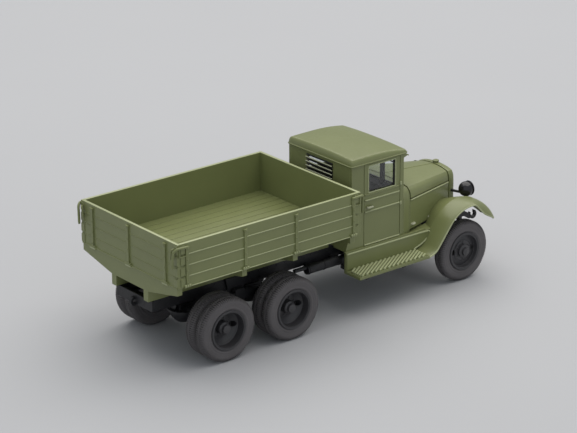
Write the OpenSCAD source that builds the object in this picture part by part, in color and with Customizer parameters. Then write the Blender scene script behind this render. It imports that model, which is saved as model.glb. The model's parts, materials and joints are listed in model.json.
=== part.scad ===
// Scale model of a six-wheeled military cargo truck, millimetres.
// X points forward, Y to the driver's left, Z up; the tyres stand on z = 0
// and the origin lies under the middle of the model's length and width.

/* [Wheels] */
// tyre outside diameter
tyre_d = 21.4; // [20:0.1:22.4]
// tyre section width
tyre_w = 4.3; // [3.6:0.1:4.6]
// seat diameter of the tyre on its rim
rim_d = 12.6; // [11.6:0.1:13.4]
// front axle ahead of the origin
front_axle_x = 53.8; // [52.8:0.1:54.6]
// front axle to the first rear axle
wheelbase = 76.5; // [75:0.1:79]
// distance between the two rear axles
bogie_base = 26.4; // [24:0.1:27]
// centre of each front tyre from the middle plane
front_wheel_y = 19.4; // [19:0.1:20]
// centre of each outer rear tyre from the middle plane
rear_wheel_y = 21.7; // [21:0.1:22.4]
// spacing of the two tyres of a twin wheel
twin_pitch = 5.1; // [4.8:0.1:5.4]
// steel axle pin diameter
pin_d = 1.5; // [1.2:0.1:1.8]
// radial play of the pins in the axle housings
running_gap = 0.05; // [0.02:0.01:0.1]

/* [Frame] */
// top of the frame rails
rail_top = 21.4; // [20.8:0.1:21.4]
// height of a rail
rail_h = 4; // [3.4:0.1:4.2]
// width of a rail
rail_w = 1.7; // [1.4:0.1:2]
// middle of a rail from the middle plane
rail_y = 8.7; // [8.2:0.1:9]
// rails end this far ahead of the tailgate
rail_tail = 2.5; // [2:0.1:3.5]
// rails end this far ahead of the front axle
rail_nose = 13.2; // [12.6:0.1:13.8]

/* [Bed] */
// gap between the front board and the back of the cab
bed_gap = 4.5; // [4:0.1:5.5]
// length over the boards
bed_len = 73.1; // [71.4:0.1:73.8]
// width over the boards
bed_w = 51.8; // [50:0.1:53]
// thickness of a board
board_t = 1; // [0.8:0.1:1.4]
// bottom edge of the boards
board_z = 30.8; // [30.5:0.1:31.4]
// height of a board
board_h = 14.5; // [12:0.1:16]
// planks in the height of a board
board_planks = 4; // [3:1:6]
// planks in the width of the floor
floor_planks = 14; // [10:1:18]
// thickness of the floor
floor_t = 1.2; // [1:0.1:1.5]
// depth of a cross bearer at its middle
bearer_h = 5.6; // [4.6:0.1:6]
// width of the strap irons on the boards
strap_w = 1; // [0.8:0.1:1.4]

/* [Cab] */
// back face of the cab
cab_rear = 7.7; // [7.2:0.1:8.2]
// front face of the windscreen frame
cab_front = 30.3; // [29.8:0.1:31]
// width over the doors
cab_w = 32.4; // [31.6:0.1:32.8]
// thickness of the cab walls
wall_t = 1; // [0.8:0.1:1.2]
// bottom edge of the cab
cab_bottom = 20.9; // [20.8:0.1:21.2]
// underside of the roof
roof_z = 49.8; // [48.5:0.1:51]
// highest point of the roof over its underside
roof_rise = 3; // [2.7:0.1:3.4]
// rear edge of a door
door_rear = 12.9; // [12:0.1:14]
// front edge of a door
door_front = 28.8; // [28.2:0.1:29]
// sill of the windows
sill_z = 39.6; // [38.6:0.1:40.6]
// half width of the rear window
rear_window = 6.5; // [5.5:0.1:7.5]
// bars over the rear window
window_bars = 4; // [3:1:6]

/* [Bonnet] */
// rear edge of the bonnet
hood_rear = 34.3; // [33.5:0.1:35]
// front edge of the bonnet ahead of the front axle
hood_ahead = 4.4; // [3.8:0.1:5]
// half width of the bonnet at the cowl
hood_y_rear = 15.2; // [14.6:0.1:15.6]
// half width of the bonnet at the radiator
hood_y_front = 8.1; // [8:0.1:8.6]
// bottom edge of the bonnet sides
hood_bottom = 21.6; // [21.5:0.1:22]
// top edge of the bonnet sides at the cowl
hinge_rear = 32.4; // [31.8:0.1:33]
// top edge of the bonnet sides at the radiator
hinge_front = 31.3; // [30.8:0.1:32]
// ridge of the bonnet at the cowl
ridge_rear = 37.4; // [36.6:0.1:38]
// ridge of the bonnet at the radiator
ridge_front = 35.7; // [35:0.1:36.2]
// thickness of the bonnet, wings and running boards
skin_t = 0.8; // [0.6:0.1:0.9]
// depth of the radiator shell
radiator_t = 2.4; // [2:0.1:2.8]
// diameter of a headlamp
lamp_d = 5.6; // [5:0.1:6]

/* [Wings] */
// outer edge of the wings
wing_y = 23.8; // [23.4:0.1:24.2]
// radius of the outer edge over the front wheel
wing_r = 12; // [11.7:0.1:12.4]
// rise of the crown over the outer edge
wing_crown = 2.3; // [1.8:0.1:2.7]
// top of the running boards
step_z = 14.6; // [14.2:0.1:15]
// rear end of the running boards
step_rear = 4.6; // [4.2:0.1:6]
// outer edge of the running boards
step_y = 24.3; // [23.9:0.1:24.8]
// raised ribs across a running board
step_ribs = 20; // [12:1:24]

/* [Hidden] */
axle_z = tyre_d / 2;
mid_axle_x = front_axle_x - wheelbase;
rear_axle_x = mid_axle_x - bogie_base;
bogie_x = (mid_axle_x + rear_axle_x) / 2;
pin_r = pin_d / 2;
bore_r = pin_r + running_gap;
fit = 0.03;
rim_r = rim_d / 2;
bead = 0.45;
bead_t = 0.35;
rail_bottom = rail_top - rail_h;
rail_out = rail_y + rail_w / 2;
rail_in = rail_y - rail_w / 2;
bed_front = cab_rear - bed_gap;
bed_rear = bed_front - bed_len;
rail_rear = bed_rear + rail_tail;
rail_front = front_axle_x + rail_nose;
bed_y = bed_w / 2;
board_top = board_z + board_h;
floor_z = board_z - 0.2;
bearer_bottom = floor_z - bearer_h;
cab_y = cab_w / 2;
inner_y = cab_y - wall_t;
cab_floor_top = rail_top + 0.8;
apron_out = cab_y + 0.8;
shelf_top = cab_bottom - 0.3;
shelf_bottom = shelf_top - skin_t;
apron_top = cab_bottom + 0.25;
step_bottom = step_z - skin_t - 0.1;
hood_front = front_axle_x + hood_ahead;
shell_front = hood_front + radiator_t;
wing_x = front_axle_x + 1;
wing_top = 27.5;
liner_turn = 50;
screw_r = 1.05;
eps = 0.01;

// outer face of the bonnet side at x
function hood_side(x) =
    hood_y_rear + (hood_y_front - hood_y_rear) * (x - hood_rear) / (hood_front - hood_rear);

body_green = [0.38, 0.41, 0.26];
chassis_black = [0.07, 0.07, 0.08];
wheel_black = [0.1, 0.1, 0.1];
rubber = [0.09, 0.09, 0.09];
steel = [0.6, 0.6, 0.62];
interior_grey = [0.2, 0.2, 0.21];
clear = [0.85, 0.9, 0.9];

// the child and its mirror image on the other side
module pair() {
    children();
    mirror([0, 1, 0]) children();
}

// box between two corners
module span(a, b) {
    translate(a) cube(b - a);
}

// rod along Y between y0 and y1
module rod_y(x, z, y0, y1, r) {
    translate([x, y0, z]) rotate([-90, 0, 0]) cylinder(h = y1 - y0, r = r, $fn = 48);
}

// rod along X between x0 and x1
module rod_x(y, z, x0, x1, r) {
    translate([x0, y, z]) rotate([0, 90, 0]) cylinder(h = x1 - x0, r = r, $fn = 48);
}

// outline in the XZ plane, extruded from y0 to y1
module slab_xz(points, y0, y1) {
    translate([0, y1, 0]) rotate([90, 0, 0]) linear_extrude(height = y1 - y0) polygon(points);
}

// outline in the YZ plane, extruded from x0 to x1
module slab_yz(points, x0, x1) {
    translate([x0, 0, 0]) rotate([90, 0, 90]) linear_extrude(height = x1 - x0) polygon(points);
}

// outline from x0 to x1 and across the middle plane, with round corners
module rounded_box(x0, x1, half, r) {
    translate([x0 + r, -half]) square([x1 - x0 - 2 * r, 2 * half]);
    translate([x0, -half + r]) square([x1 - x0, 2 * (half - r)]);
    for (x = [x0 + r, x1 - r]) for (side = [-1, 1])
        translate([x, side * (half - r)]) circle(r = r, $fn = 48);
}

// leaf stack: arc about (x, z of the centre), ends up when the centre is above
module leaves(x, z_centre, r_main, step, count, half, half_step, y0, y1, up) {
    for (i = [0 : count - 1]) {
        r = r_main + (up ? 1 : -1) * i * step;
        span_a = asin((half - i * half_step) / r);
        translate([x, y1, z_centre]) rotate([90, 0, 0])
            rotate([0, 0, (up ? -90 : 90) - span_a])
                rotate_extrude(angle = 2 * span_a, $fn = 96)
                    translate([up ? r : r - step - lap, 0]) square([step + lap, y1 - y0]);
    }
}

// frame

horn_len = 6;
horn_curl = 2.4;
horn_drop = 1.6;
horn_x = rail_front - horn_len;
horn_top = rail_top - 3.6;
horn_bottom = rail_bottom - horn_drop;
web_t = 0.6;
lip_t = 0.5;

module frame_rails() {
    color(chassis_black) pair() difference() {
        slab_xz([
            [rail_rear, rail_bottom], [rail_front - horn_curl, rail_bottom], [rail_front, horn_bottom],
            [rail_front, horn_top], [horn_x, rail_top], [rail_rear, rail_top]],
            rail_in, rail_out);
        span([rail_rear + 1, rail_in - 1, rail_bottom + lip_t],
            [horn_x - 1, rail_out - web_t, rail_top - lip_t]);
    }
}

member_w = 3;
member_ahead = 1.6;
member_tail = 2.5;
member_front = horn_x + member_ahead;
member_rear = rail_rear + member_tail;
mid_member = 15;
cab_member = 14;
member_x = [bogie_x, mid_axle_x + mid_member, cab_rear + cab_member];
boss_h = rail_h - 2.4;
boss_r = member_w / 2 + 0.6;
screw_depth = 1.3;

module cross_members() {
    color(chassis_black) {
        for (x = member_x)
            span([x - member_w / 2, -rail_in, rail_bottom], [x + member_w / 2, rail_in, rail_top]);
        for (x = [member_front, member_rear]) difference() {
            union() {
                span([x - member_w / 2, -rail_in, rail_bottom],
                    [x + member_w / 2, rail_in, rail_bottom + boss_h]);
                translate([x, 0, rail_bottom]) cylinder(h = boss_h, r = boss_r, $fn = 48);
            }
            translate([x, 0, rail_bottom - 1]) cylinder(h = screw_depth + 1, r = screw_r, $fn = 48);
        }
    }
}

// front axle with its knuckles, brake plates and track rod

beam_end = front_wheel_y - tyre_w / 2 - 1;
plate_r = rim_r - 1.6;
pad_top = axle_z + 1.7;

module front_axle() {
    x = front_axle_x;
    z = axle_z;
    color(chassis_black) difference() {
        union() {
            span([x - 1, -beam_end, z - 1.3], [x + 1, beam_end, z + 1.3]);
            pair() {
                span([x - 1.6, rail_y - 1.2, z - 1.3], [x + 1.6, rail_y + 1.2, pad_top]);
                translate([x, beam_end - 1.2, z - 2.2]) cylinder(h = 4.4, r = 1.3, $fn = 48);
                rod_y(x, z, beam_end - 0.6, beam_end, plate_r);
                span([x - 3.6, beam_end - 1.8, z - 1.6], [x, beam_end - 1.1, z - 0.9]);
            }
            rod_y(x - 3.2, z - 1.25, -beam_end + 1.4, beam_end - 1.4, 0.4);
        }
        rod_y(x, z, -beam_end - 1, beam_end + 1, bore_r);
    }
}

leaf_t = 0.45;
lap = 0.06;
front_leaves = 5;
front_half = 10;
front_sag = 1.2;
front_spring_r = (front_half * front_half + front_sag * front_sag) / (2 * front_sag);
front_pack = front_leaves * leaf_t;

module front_springs() {
    x = front_axle_x;
    top = pad_top + front_pack + 0.3;
    color(chassis_black) pair() {
        leaves(x, top + front_spring_r - leaf_t, front_spring_r - leaf_t, leaf_t, front_leaves,
            front_half, 1.7, rail_y - 0.75, rail_y + 0.75, true);
        span([x - 1.4, rail_y - 1, pad_top], [x + 1.4, rail_y + 1, top + 0.3]);
        for (end = [-1, 1])
            span([x + end * (front_half - 0.9) - 0.6, rail_y - 0.75, top + front_sag - 1],
                [x + end * (front_half - 0.9) + 0.6, rail_y + 0.75, rail_bottom]);
    }
}

// driven rear axles: tube, worm bowl with its flange, brake plates

tube_end = rear_wheel_y - twin_pitch - tyre_w / 2 - 0.5;
tube_r = pin_r + 0.85;
bowl_r = 4.9;
bowl_drop = 4;
flange_r = 5.6;
worm_r = 1.7;
worm_z = axle_z + 2.4;
spring_y = rail_out + 2;

module driven_axle(x) {
    z = axle_z;
    color(chassis_black) difference() {
        union() {
            rod_y(x, z, -tube_end, tube_end, tube_r);
            translate([x, 0, z + 0.2]) rotate_extrude($fn = 96) intersection() {
                union() {
                    circle(r = bowl_r, $fn = 96);
                    translate([0, -0.4]) square([flange_r, 0.8]);
                }
                translate([0, -bowl_drop]) square([flange_r, bowl_drop + 0.4]);
            }
            span([x - 3.2, -2.4, z], [x + 3.2, 2.4, worm_z]);
            rod_x(0, worm_z, x - 4.4, x + 4.4, worm_r);
            pair() {
                rod_y(x, z, tube_end - 0.6, tube_end, plate_r);
                span([x - 1.5, spring_y - 1.2, z], [x + 1.5, spring_y + 1.2, z + tube_r + 0.4]);
            }
        }
        rod_y(x, z, -tube_end - 1, tube_end + 1, bore_r);
    }
}

module mid_axle() {
    driven_axle(mid_axle_x);
}

module rear_axle() {
    driven_axle(rear_axle_x);
}

bogie_leaves = 6;
bogie_half = bogie_base / 2 + 1;
bogie_sag = 1.5;
bogie_r = (bogie_half * bogie_half + bogie_sag * bogie_sag) / (2 * bogie_sag);
bogie_top = rail_bottom - 0.6;
seat_z = axle_z + tube_r + 0.4;
clip_z = bogie_top - bogie_sag + 0.25;

module bogie_springs() {
    color(chassis_black) pair() {
        leaves(bogie_x, bogie_top - bogie_r, bogie_r, leaf_t, bogie_leaves, bogie_half, 1.7,
            spring_y - 0.9, spring_y + 0.9, false);
        for (end = [-1, 1])
            span([bogie_x + end * bogie_base / 2 - 1.2, spring_y - 0.9, seat_z],
                [bogie_x + end * bogie_base / 2 + 1.2, spring_y + 0.9, clip_z]);
        span([bogie_x - 1.8, spring_y - 1.1, bogie_top - bogie_leaves * leaf_t - 0.7],
            [bogie_x + 1.8, spring_y + 1.1, rail_bottom + 0.4]);
    }
}

bracket_out = spring_y - 1.1;

module bogie_brackets() {
    color(chassis_black) pair()
        slab_xz([
            [bogie_x - 4.2, rail_top], [bogie_x - 2, bogie_top - 3.6], [bogie_x + 2, bogie_top - 3.6],
            [bogie_x + 4.2, rail_top]], rail_out, bracket_out);
}

// engine, gearbox and the shafts to the rear axles

gearbox_rear = member_x[2] + member_w / 2 + 1;
engine_clear = 7.8;
bulkhead_clear = 3.1;
engine_front = hood_front - engine_clear;
engine_rear = hood_rear + bulkhead_clear;
shaft_z = rail_bottom - 1.2;

module engine() {
    color(chassis_black) {
        span([engine_rear, -5, rail_bottom - 1.6], [engine_front, 5, rail_top + 6]);
        span([engine_rear + 3, -3.6, rail_bottom - 3.6], [engine_front - 1, 3.6, rail_bottom - 1.6]);
        span([gearbox_rear, -3, rail_bottom - 3], [engine_rear, 3, rail_top - 0.6]);
        pair() span([engine_rear + 2, 0, rail_bottom], [engine_rear + 4.4, rail_in, rail_bottom + 1.2]);
    }
}

mid_in_x = mid_axle_x + 4.4;
shaft_drop = shaft_z - worm_z;
shaft_tilt = atan2(shaft_drop, gearbox_rear - mid_in_x);

module drive_shafts() {
    color(chassis_black) {
        intersection() {
            translate([mid_in_x, 0, worm_z]) rotate([0, -shaft_tilt, 0])
                rod_x(0, 0, -5, gearbox_rear - mid_in_x + 5, 0.9);
            span([mid_in_x, -3, 0], [gearbox_rear, 3, rail_top]);
        }
        rod_x(0, worm_z, rear_axle_x + 4.4, mid_axle_x - 4.4, 0.9);
        for (x = [rear_axle_x + 4.4, mid_axle_x - 5.2, mid_in_x])
            rod_x(0, worm_z, x, x + 0.8, 1.5);
    }
}

// exhaust under the right-hand side of the cab

muffler_y = -(rail_out + 2.6);
muffler_z = rail_bottom - 0.4;
muffler_back = 16;
muffler_rear = cab_rear - muffler_back;
muffler_len = 14;
muffler_r = 1.6;
pipe_r = 0.7;
pipe_rise = 0.8;
pipe_tail = 5;
pipe_run = 24;

module muffler() {
    color(chassis_black) {
        rod_x(muffler_y, muffler_z, muffler_rear, muffler_rear + muffler_len, muffler_r);
        rod_x(muffler_y, muffler_z + pipe_rise, muffler_rear - pipe_tail,
            muffler_rear + muffler_len + pipe_run, pipe_r);
        for (x = [muffler_rear + 1, muffler_rear + muffler_len - 2.4])
            span([x, muffler_y - 0.4, muffler_z - 0.4], [x + 1.4, -rail_out, muffler_z + 1.4]);
    }
}

bracket_w = 1.4;
bracket_h = 1.2;
bracket_first = 4;
bracket_second = 20;
bracket_x = [step_rear + bracket_first, step_rear + bracket_second];

module step_brackets() {
    color(chassis_black) pair() for (x = bracket_x) {
        span([x, rail_out, step_bottom - bracket_h], [x + bracket_w, step_y - 1.6, step_bottom]);
        span([x, rail_out, step_bottom - bracket_h],
            [x + bracket_w, rail_out + 0.9, rail_top - bracket_h]);
    }
}

hook_r = 1.6;
hook_x = rail_front + hook_r + 0.4;
hook_z = horn_bottom + 1.1;

module tow_hooks() {
    color(chassis_black) pair() {
        difference() {
            rod_y(hook_x, hook_z, rail_y - 0.55, rail_y + 0.55, hook_r);
            rod_y(hook_x, hook_z, rail_y - 1, rail_y + 1, hook_r - 0.8);
            span([hook_x - 1.2, rail_y - 1, hook_z], [hook_x + 0.6, rail_y + 1, hook_z + 3]);
        }
        span([rail_front, rail_y - 0.55, horn_bottom], [hook_x - 0.4, rail_y + 0.55, horn_bottom + 0.5]);
    }
}

module rear_hitch() {
    x = rail_rear;
    color(chassis_black) {
        span([x - 0.9, -rail_out, rail_bottom], [x, rail_out, rail_top - 0.4]);
        difference() {
            rod_y(x - 1.2, rail_bottom + 1, -0.6, 0.6, 1.5);
            rod_y(x - 1.2, rail_bottom + 1, -1, 1, 0.7);
        }
    }
}

// load bed

sill_y = rail_y - 0.1;
sill_w = 2.4;

module bed_sills() {
    color(body_green) pair()
        span([bed_rear, sill_y - sill_w / 2, rail_top], [bed_front, sill_y + sill_w / 2, bearer_bottom]);
}

strap_end = 3.4;
strap_second = 26;
strap_third = 46.4;
strap_last = 3;
strap_x = [bed_rear + strap_end, bed_rear + strap_second, bed_rear + strap_third, bed_front - strap_last];
bearer_t = 1.8;
bearer_flat = 9.8;
bearer_end = 2.2;
bearer_y = bed_y - 0.5;
bearer_x = [bed_rear, for (i = [1 : 3]) strap_x[i] - bearer_t / 2];

module bed_bearers() {
    color(body_green) for (x = bearer_x)
        slab_yz([
            [-bearer_y, floor_z], [-bearer_y, floor_z - bearer_end], [-bearer_flat, bearer_bottom],
            [bearer_flat, bearer_bottom], [bearer_y, floor_z - bearer_end], [bearer_y, floor_z]],
            x, x + bearer_t);
}

floor_y = bed_y - board_t;
floor_rear = bed_rear + board_t;
floor_front = bed_front - board_t;
floor_pitch = 2 * floor_y / floor_planks;
groove = 0.24;

module bed_floor() {
    color(body_green) difference() {
        span([floor_rear, -floor_y, floor_z], [floor_front, floor_y, floor_z + floor_t]);
        for (i = [1 : floor_planks - 1])
            translate([floor_rear - 1, -floor_y + i * floor_pitch - groove / 2, floor_z + floor_t - groove])
                cube([bed_len + 2, groove, 1]);
    }
}

plank = board_h / board_planks;
strap_t = 0.5;
strap_top = board_top - 0.9;
hinge_r = 0.5;
hinge_len = 2.6;
iron_w = 1.7;
iron_t = 0.22;

// strap iron with its head and hinge barrel, standing on the outer face at the origin
module strap() {
    translate([-strap_w / 2, 0, board_z]) cube([strap_w, strap_t, strap_top - board_z]);
    translate([-strap_w / 2 - 0.2, 0, strap_top - 0.7]) cube([strap_w + 0.4, strap_t + 0.15, 0.7]);
    rod_x(strap_t - hinge_r + 0.2, board_z + hinge_r, -hinge_len / 2, hinge_len / 2, hinge_r);
}

// board lying along X with its outer face on y = 0 and its body behind
module board(len, marks) {
    difference() {
        translate([0, -board_t, board_z]) cube([len, board_t, board_h]);
        for (i = [1 : board_planks - 1])
            translate([-1, -groove, board_z + i * plank - groove / 2]) cube([len + 2, 1, groove]);
    }
    for (x = marks) translate([x, 0, 0]) strap();
    for (end = [0, len - iron_w]) for (i = [0 : board_planks - 1])
        translate([end, 0, board_z + i * plank + 0.5]) cube([iron_w, iron_t, plank - 1]);
}

side_len = bed_len - 2 * board_t;
side_marks = [for (x = strap_x) x - floor_rear];
gate_strap = 19.5;
gate_marks = [bed_y - gate_strap, bed_y, bed_y + gate_strap];

module left_board() {
    color(body_green) translate([floor_rear, bed_y, 0]) board(side_len, side_marks);
}

module right_board() {
    color(body_green) mirror([0, 1, 0]) translate([floor_rear, bed_y, 0]) board(side_len, side_marks);
}

module front_board() {
    color(body_green) translate([bed_front, bed_y, 0]) rotate([0, 0, -90]) board(bed_w, gate_marks);
}

module tailgate() {
    color(body_green) translate([bed_rear, -bed_y, 0]) rotate([0, 0, 90]) board(bed_w, gate_marks);
}

latch_y = bed_y - 0.9;
latch_z = board_top - 2;
latch_out = 1.9;
latch_drop = 5.6;

// lever and keeper on the face x = 0, body to the front
module latch() {
    span([-latch_out, latch_y - 0.35, latch_z - 0.7], [-iron_t, latch_y + 0.35, latch_z]);
    span([-latch_out, latch_y - 0.35, latch_z - latch_drop], [-latch_out + 0.7, latch_y + 0.35, latch_z]);
    span([-0.8, latch_y - 3.4, latch_z - 2.6], [0, latch_y - 2.5, latch_z + 0.4]);
    span([-1.3, latch_y - 3.4, latch_z - 2.6], [-0.8, latch_y - 2.5, latch_z - 1.5]);
}

module corner_latches() {
    color(body_green) pair() {
        translate([bed_rear, 0, 0]) latch();
        translate([bed_front, 0, 0]) mirror([1, 0, 0]) latch();
    }
}

// cab

cab_flare = 2.5;
flare_z = 29;

module cab_floor() {
    color(interior_grey)
        span([cab_rear + wall_t, -inner_y, rail_top], [cab_front - wall_t, inner_y, cab_floor_top]);
}

rear_sill = sill_z + 3.6;
window_top = roof_z - 1.1;

// clears the frame rails under a cab wall
module rail_notch(x0, x1) {
    span([x0, -rail_out - 0.4, cab_bottom - 1], [x1, rail_out + 0.4, rail_top]);
}

module cab_back() {
    color(body_green) difference() {
        slab_xz([
            [cab_rear - cab_flare, cab_bottom], [cab_rear - cab_flare + wall_t, cab_bottom],
            [cab_rear + wall_t, flare_z], [cab_rear + wall_t, roof_z],
            [cab_rear, roof_z], [cab_rear, flare_z]],
            -inner_y, inner_y);
        rail_notch(cab_rear - cab_flare - 1, cab_rear + wall_t + 1);
        span([cab_rear - 1, -rear_window, rear_sill], [cab_rear + 2, rear_window, window_top]);
    }
}

pane_rear = door_rear + 2.1;
pane_front = door_front - 2.3;
belt_upper = sill_z - 2.5;
belt_lower = sill_z - 6.5;
belt_t = 0.18;
handle_x = door_rear + 1.4;
handle_z = belt_lower + 1.3;
handle_t = 0.5;

module cab_quarters() {
    color(body_green) pair() difference() {
        slab_xz([
            [cab_rear - cab_flare, cab_bottom], [door_rear, cab_bottom], [door_rear, roof_z],
            [cab_rear, roof_z], [cab_rear, flare_z]],
            inner_y, cab_y);
        span([cab_rear + 1, cab_y - belt_t, belt_upper - belt_t],
            [door_rear + 1, cab_y + 1, belt_upper + belt_t]);
    }
}

module door() {
    y = cab_y;
    difference() {
        union() {
            span([door_rear, inner_y, cab_bottom], [door_front, y, roof_z]);
            for (z = [belt_upper, belt_lower])
                span([door_rear + 0.4, y - 0.1, z - belt_t], [door_front - 0.4, y + belt_t, z + belt_t]);
            span([handle_x, y - 0.1, handle_z], [handle_x + handle_t, y + 0.7, handle_z + handle_t]);
            span([handle_x, y + 0.4, handle_z], [handle_x + 2.4, y + 0.7, handle_z + handle_t]);
        }
        span([pane_rear, inner_y - 1, sill_z], [pane_front, y + 1, window_top]);
        difference() {
            span([door_rear - 1, y - 0.25, cab_bottom - 1], [door_front + 1, y + 0.1, roof_z + 1]);
            span([door_rear + 0.25, y - 1, cab_bottom + 0.6], [door_front - 0.25, y + 1, roof_z - 0.3]);
        }
    }
}

module left_door() {
    color(body_green) door();
}

module right_door() {
    color(body_green) mirror([0, 1, 0]) door();
}

screen_y = cab_y - 2.6;
screen_sill = sill_z - 1.6;

module cab_front_frame() {
    color(body_green) difference() {
        union() {
            span([cab_front - wall_t, -cab_y, cab_bottom], [cab_front, cab_y, roof_z]);
            pair() span([door_front, inner_y, cab_bottom], [cab_front, cab_y, roof_z]);
        }
        span([cab_front - 3, -screen_y, screen_sill], [cab_front + 1, screen_y, window_top]);
        rail_notch(cab_front - 3, cab_front + 1);
    }
}

roof_over = 0.6;
roof_brow = 1.6;
roof_front = cab_front + roof_brow;
roof_edge = 1.5;
gutter = 0.25;
gutter_h = 0.4;
roof_corner = 1.6;
// fall below the highest point: [share of the length, fall] and [share of the half width, fall]
roof_along = [[0, 0.1], [0.45, 0], [1, 0.9]];
roof_across = [[0, 0], [0.6, 0.25], [1, 0.8]];

// rounded slab over a thin gutter, crowned across and falling to the front
module cab_roof() {
    half = cab_y + roof_over;
    rear = cab_rear - roof_over;
    inset = gutter + roof_edge;
    run = roof_front - rear - 2 * inset;
    color(body_green) {
        translate([0, 0, roof_z]) linear_extrude(height = gutter_h)
            rounded_box(rear, roof_front, half, roof_corner);
        intersection() {
            hull() for (u = roof_along) for (v = roof_across) for (side = [-1, 1]) {
                z = roof_z + roof_rise - u[1] - v[1] - roof_edge;
                translate([rear + inset + u[0] * run, side * v[0] * (half - inset), z])
                    sphere(r = roof_edge, $fn = 32);
            }
            span([rear, -half, roof_z + gutter_h - lap], [roof_front, half, roof_z + roof_rise + 1]);
        }
    }
}

visor_y = cab_y - 1.6;

visor_len = 3.6;
visor_t = 0.4;
visor_top = roof_z - 0.1;
visor_drop = 1.5;
visor_low = visor_top - visor_drop;

module sun_visor() {
    tip = cab_front + visor_len;
    color(body_green) {
        slab_xz([
            [cab_front, visor_top - visor_t], [tip, visor_low - visor_t], [tip, visor_low],
            [cab_front, visor_top]],
            -visor_y, visor_y);
        pair() slab_xz([
            [cab_front, roof_z - 2.6], [cab_front + 0.5, roof_z - 2.6],
            [tip - 0.6, visor_low + 0.3 - visor_t], [cab_front, visor_top - visor_t]],
            visor_y - 0.5, visor_y);
    }
}

bar_pitch = (window_top - rear_sill) / window_bars;

module window_grille() {
    color(body_green) for (i = [0 : window_bars - 1])
        span([cab_rear - 0.4, -rear_window - 0.8, rear_sill + (i + 0.22) * bar_pitch],
            [cab_rear, rear_window + 0.8, rear_sill + (i + 0.78) * bar_pitch]);
}

pane_t = 0.4;

module glazing() {
    color(clear) {
        pair() span([pane_rear, cab_y - 0.8, sill_z], [pane_front, cab_y - 0.8 + pane_t, window_top]);
        span([cab_front - 0.8, -screen_y, screen_sill], [cab_front - 0.8 + pane_t, screen_y, window_top]);
        span([cab_rear + 0.3, -rear_window, rear_sill], [cab_rear + 0.3 + pane_t, rear_window, window_top]);
    }
}

seat_drop = 8;
seat_top = sill_z - seat_drop;
seat_len = 10;
cushion_t = 2;
backrest_t = 2.8;

module seat() {
    x = cab_rear + wall_t;
    color(interior_grey) {
        span([x + 1.6, -inner_y + 1, cab_floor_top], [x + seat_len + 0.4, inner_y - 1, seat_top - cushion_t]);
        span([x + 1, -inner_y + 0.6, seat_top - cushion_t], [x + seat_len + 1, inner_y - 0.6, seat_top]);
        slab_xz([
            [x, seat_top], [x + backrest_t, seat_top], [x + backrest_t / 2, sill_z + 1], [x, sill_z + 1]],
            -inner_y + 0.6, inner_y - 0.6);
    }
}

module dashboard() {
    x = cab_front - wall_t;
    color(interior_grey) slab_xz([
        [x, screen_sill - 4.4], [x - 1.4, screen_sill - 4.4], [x - 2.2, screen_sill - 1],
        [x, screen_sill - 0.2]],
        -inner_y, inner_y);
}

wheel_rim_r = 4.4;
wheel_tilt = 38;
steer_x = cab_front - 9;
steer_y = 7.6;
steer_z = sill_z - 1.6;

module steering_wheel() {
    color(chassis_black) intersection() {
        translate([steer_x, steer_y, steer_z]) rotate([0, -wheel_tilt, 0]) {
            rotate_extrude($fn = 64) translate([wheel_rim_r, 0]) circle(r = 0.35, $fn = 24);
            translate([0, 0, -0.3]) cylinder(h = 0.7, r = 0.9, $fn = 32);
            for (a = [0 : 90 : 270]) rotate([0, 0, a])
                translate([0, -0.25, -0.2]) cube([wheel_rim_r, 0.5, 0.4]);
            translate([0, 0, -20]) cylinder(h = 20, r = 0.5, $fn = 32);
        }
        span([cab_rear, 0, cab_floor_top], [cab_front - wall_t, inner_y, roof_z]);
    }
}

// cowl and bonnet

// half section of the bonnet: [share of the half width, share of the rise] from hinge to ridge
crown_half = [[1, 0], [0.985, 0.3], [0.955, 0.52], [0.91, 0.68], [0.84, 0.78], [0.5, 0.93], [0, 1]];

// whole section from the left hinge line over the ridge to the right one, as [y, z]
function crown_points(half, z0, z1) = concat(
    [for (p = crown_half) [half * p[0], z0 + (z1 - z0) * p[1]]],
    [for (i = [5 : -1 : 0]) [-half * crown_half[i][0], z0 + (z1 - z0) * crown_half[i][1]]]);

function hood_outline(half, z0, z1, base) =
    concat([[half, base]], crown_points(half, z0, z1), [[-half, base]]);

// thin slice of an outline at x
module slice(points, x) {
    slab_yz(points, x, x + eps);
}

cowl_top = screen_sill - 0.1;

module cowl() {
    t = skin_t;
    base = cab_bottom;
    color(body_green) difference() {
        hull() {
            slice(hood_outline(cab_y, hinge_rear + 1.2, cowl_top, base), cab_front);
            slice(hood_outline(hood_y_rear, hinge_rear, ridge_rear, base), hood_rear - eps);
        }
        hull() {
            slice(hood_outline(cab_y - t, hinge_rear + 1.2, cowl_top - t, base - 1), cab_front - 1);
            slice(hood_outline(hood_y_rear - t, hinge_rear, ridge_rear - t, base - 1), hood_rear + 1);
        }
    }
}

module bonnet_top() {
    t = skin_t;
    color(body_green) difference() {
        hull() {
            slice(crown_points(hood_y_rear, hinge_rear, ridge_rear), hood_rear);
            slice(crown_points(hood_y_front, hinge_front, ridge_front), hood_front - eps);
        }
        hull() {
            slice(hood_outline(hood_y_rear - t, hinge_rear, ridge_rear - t, hood_bottom), hood_rear - 0.1);
            slice(hood_outline(hood_y_front - t, hinge_front, ridge_front - t, hood_bottom),
                hood_front + 0.1);
        }
    }
}

hinge_tilt = atan2(hinge_rear - hinge_front, hood_front - hood_rear);
hinge_seam = 0.04;

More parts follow.
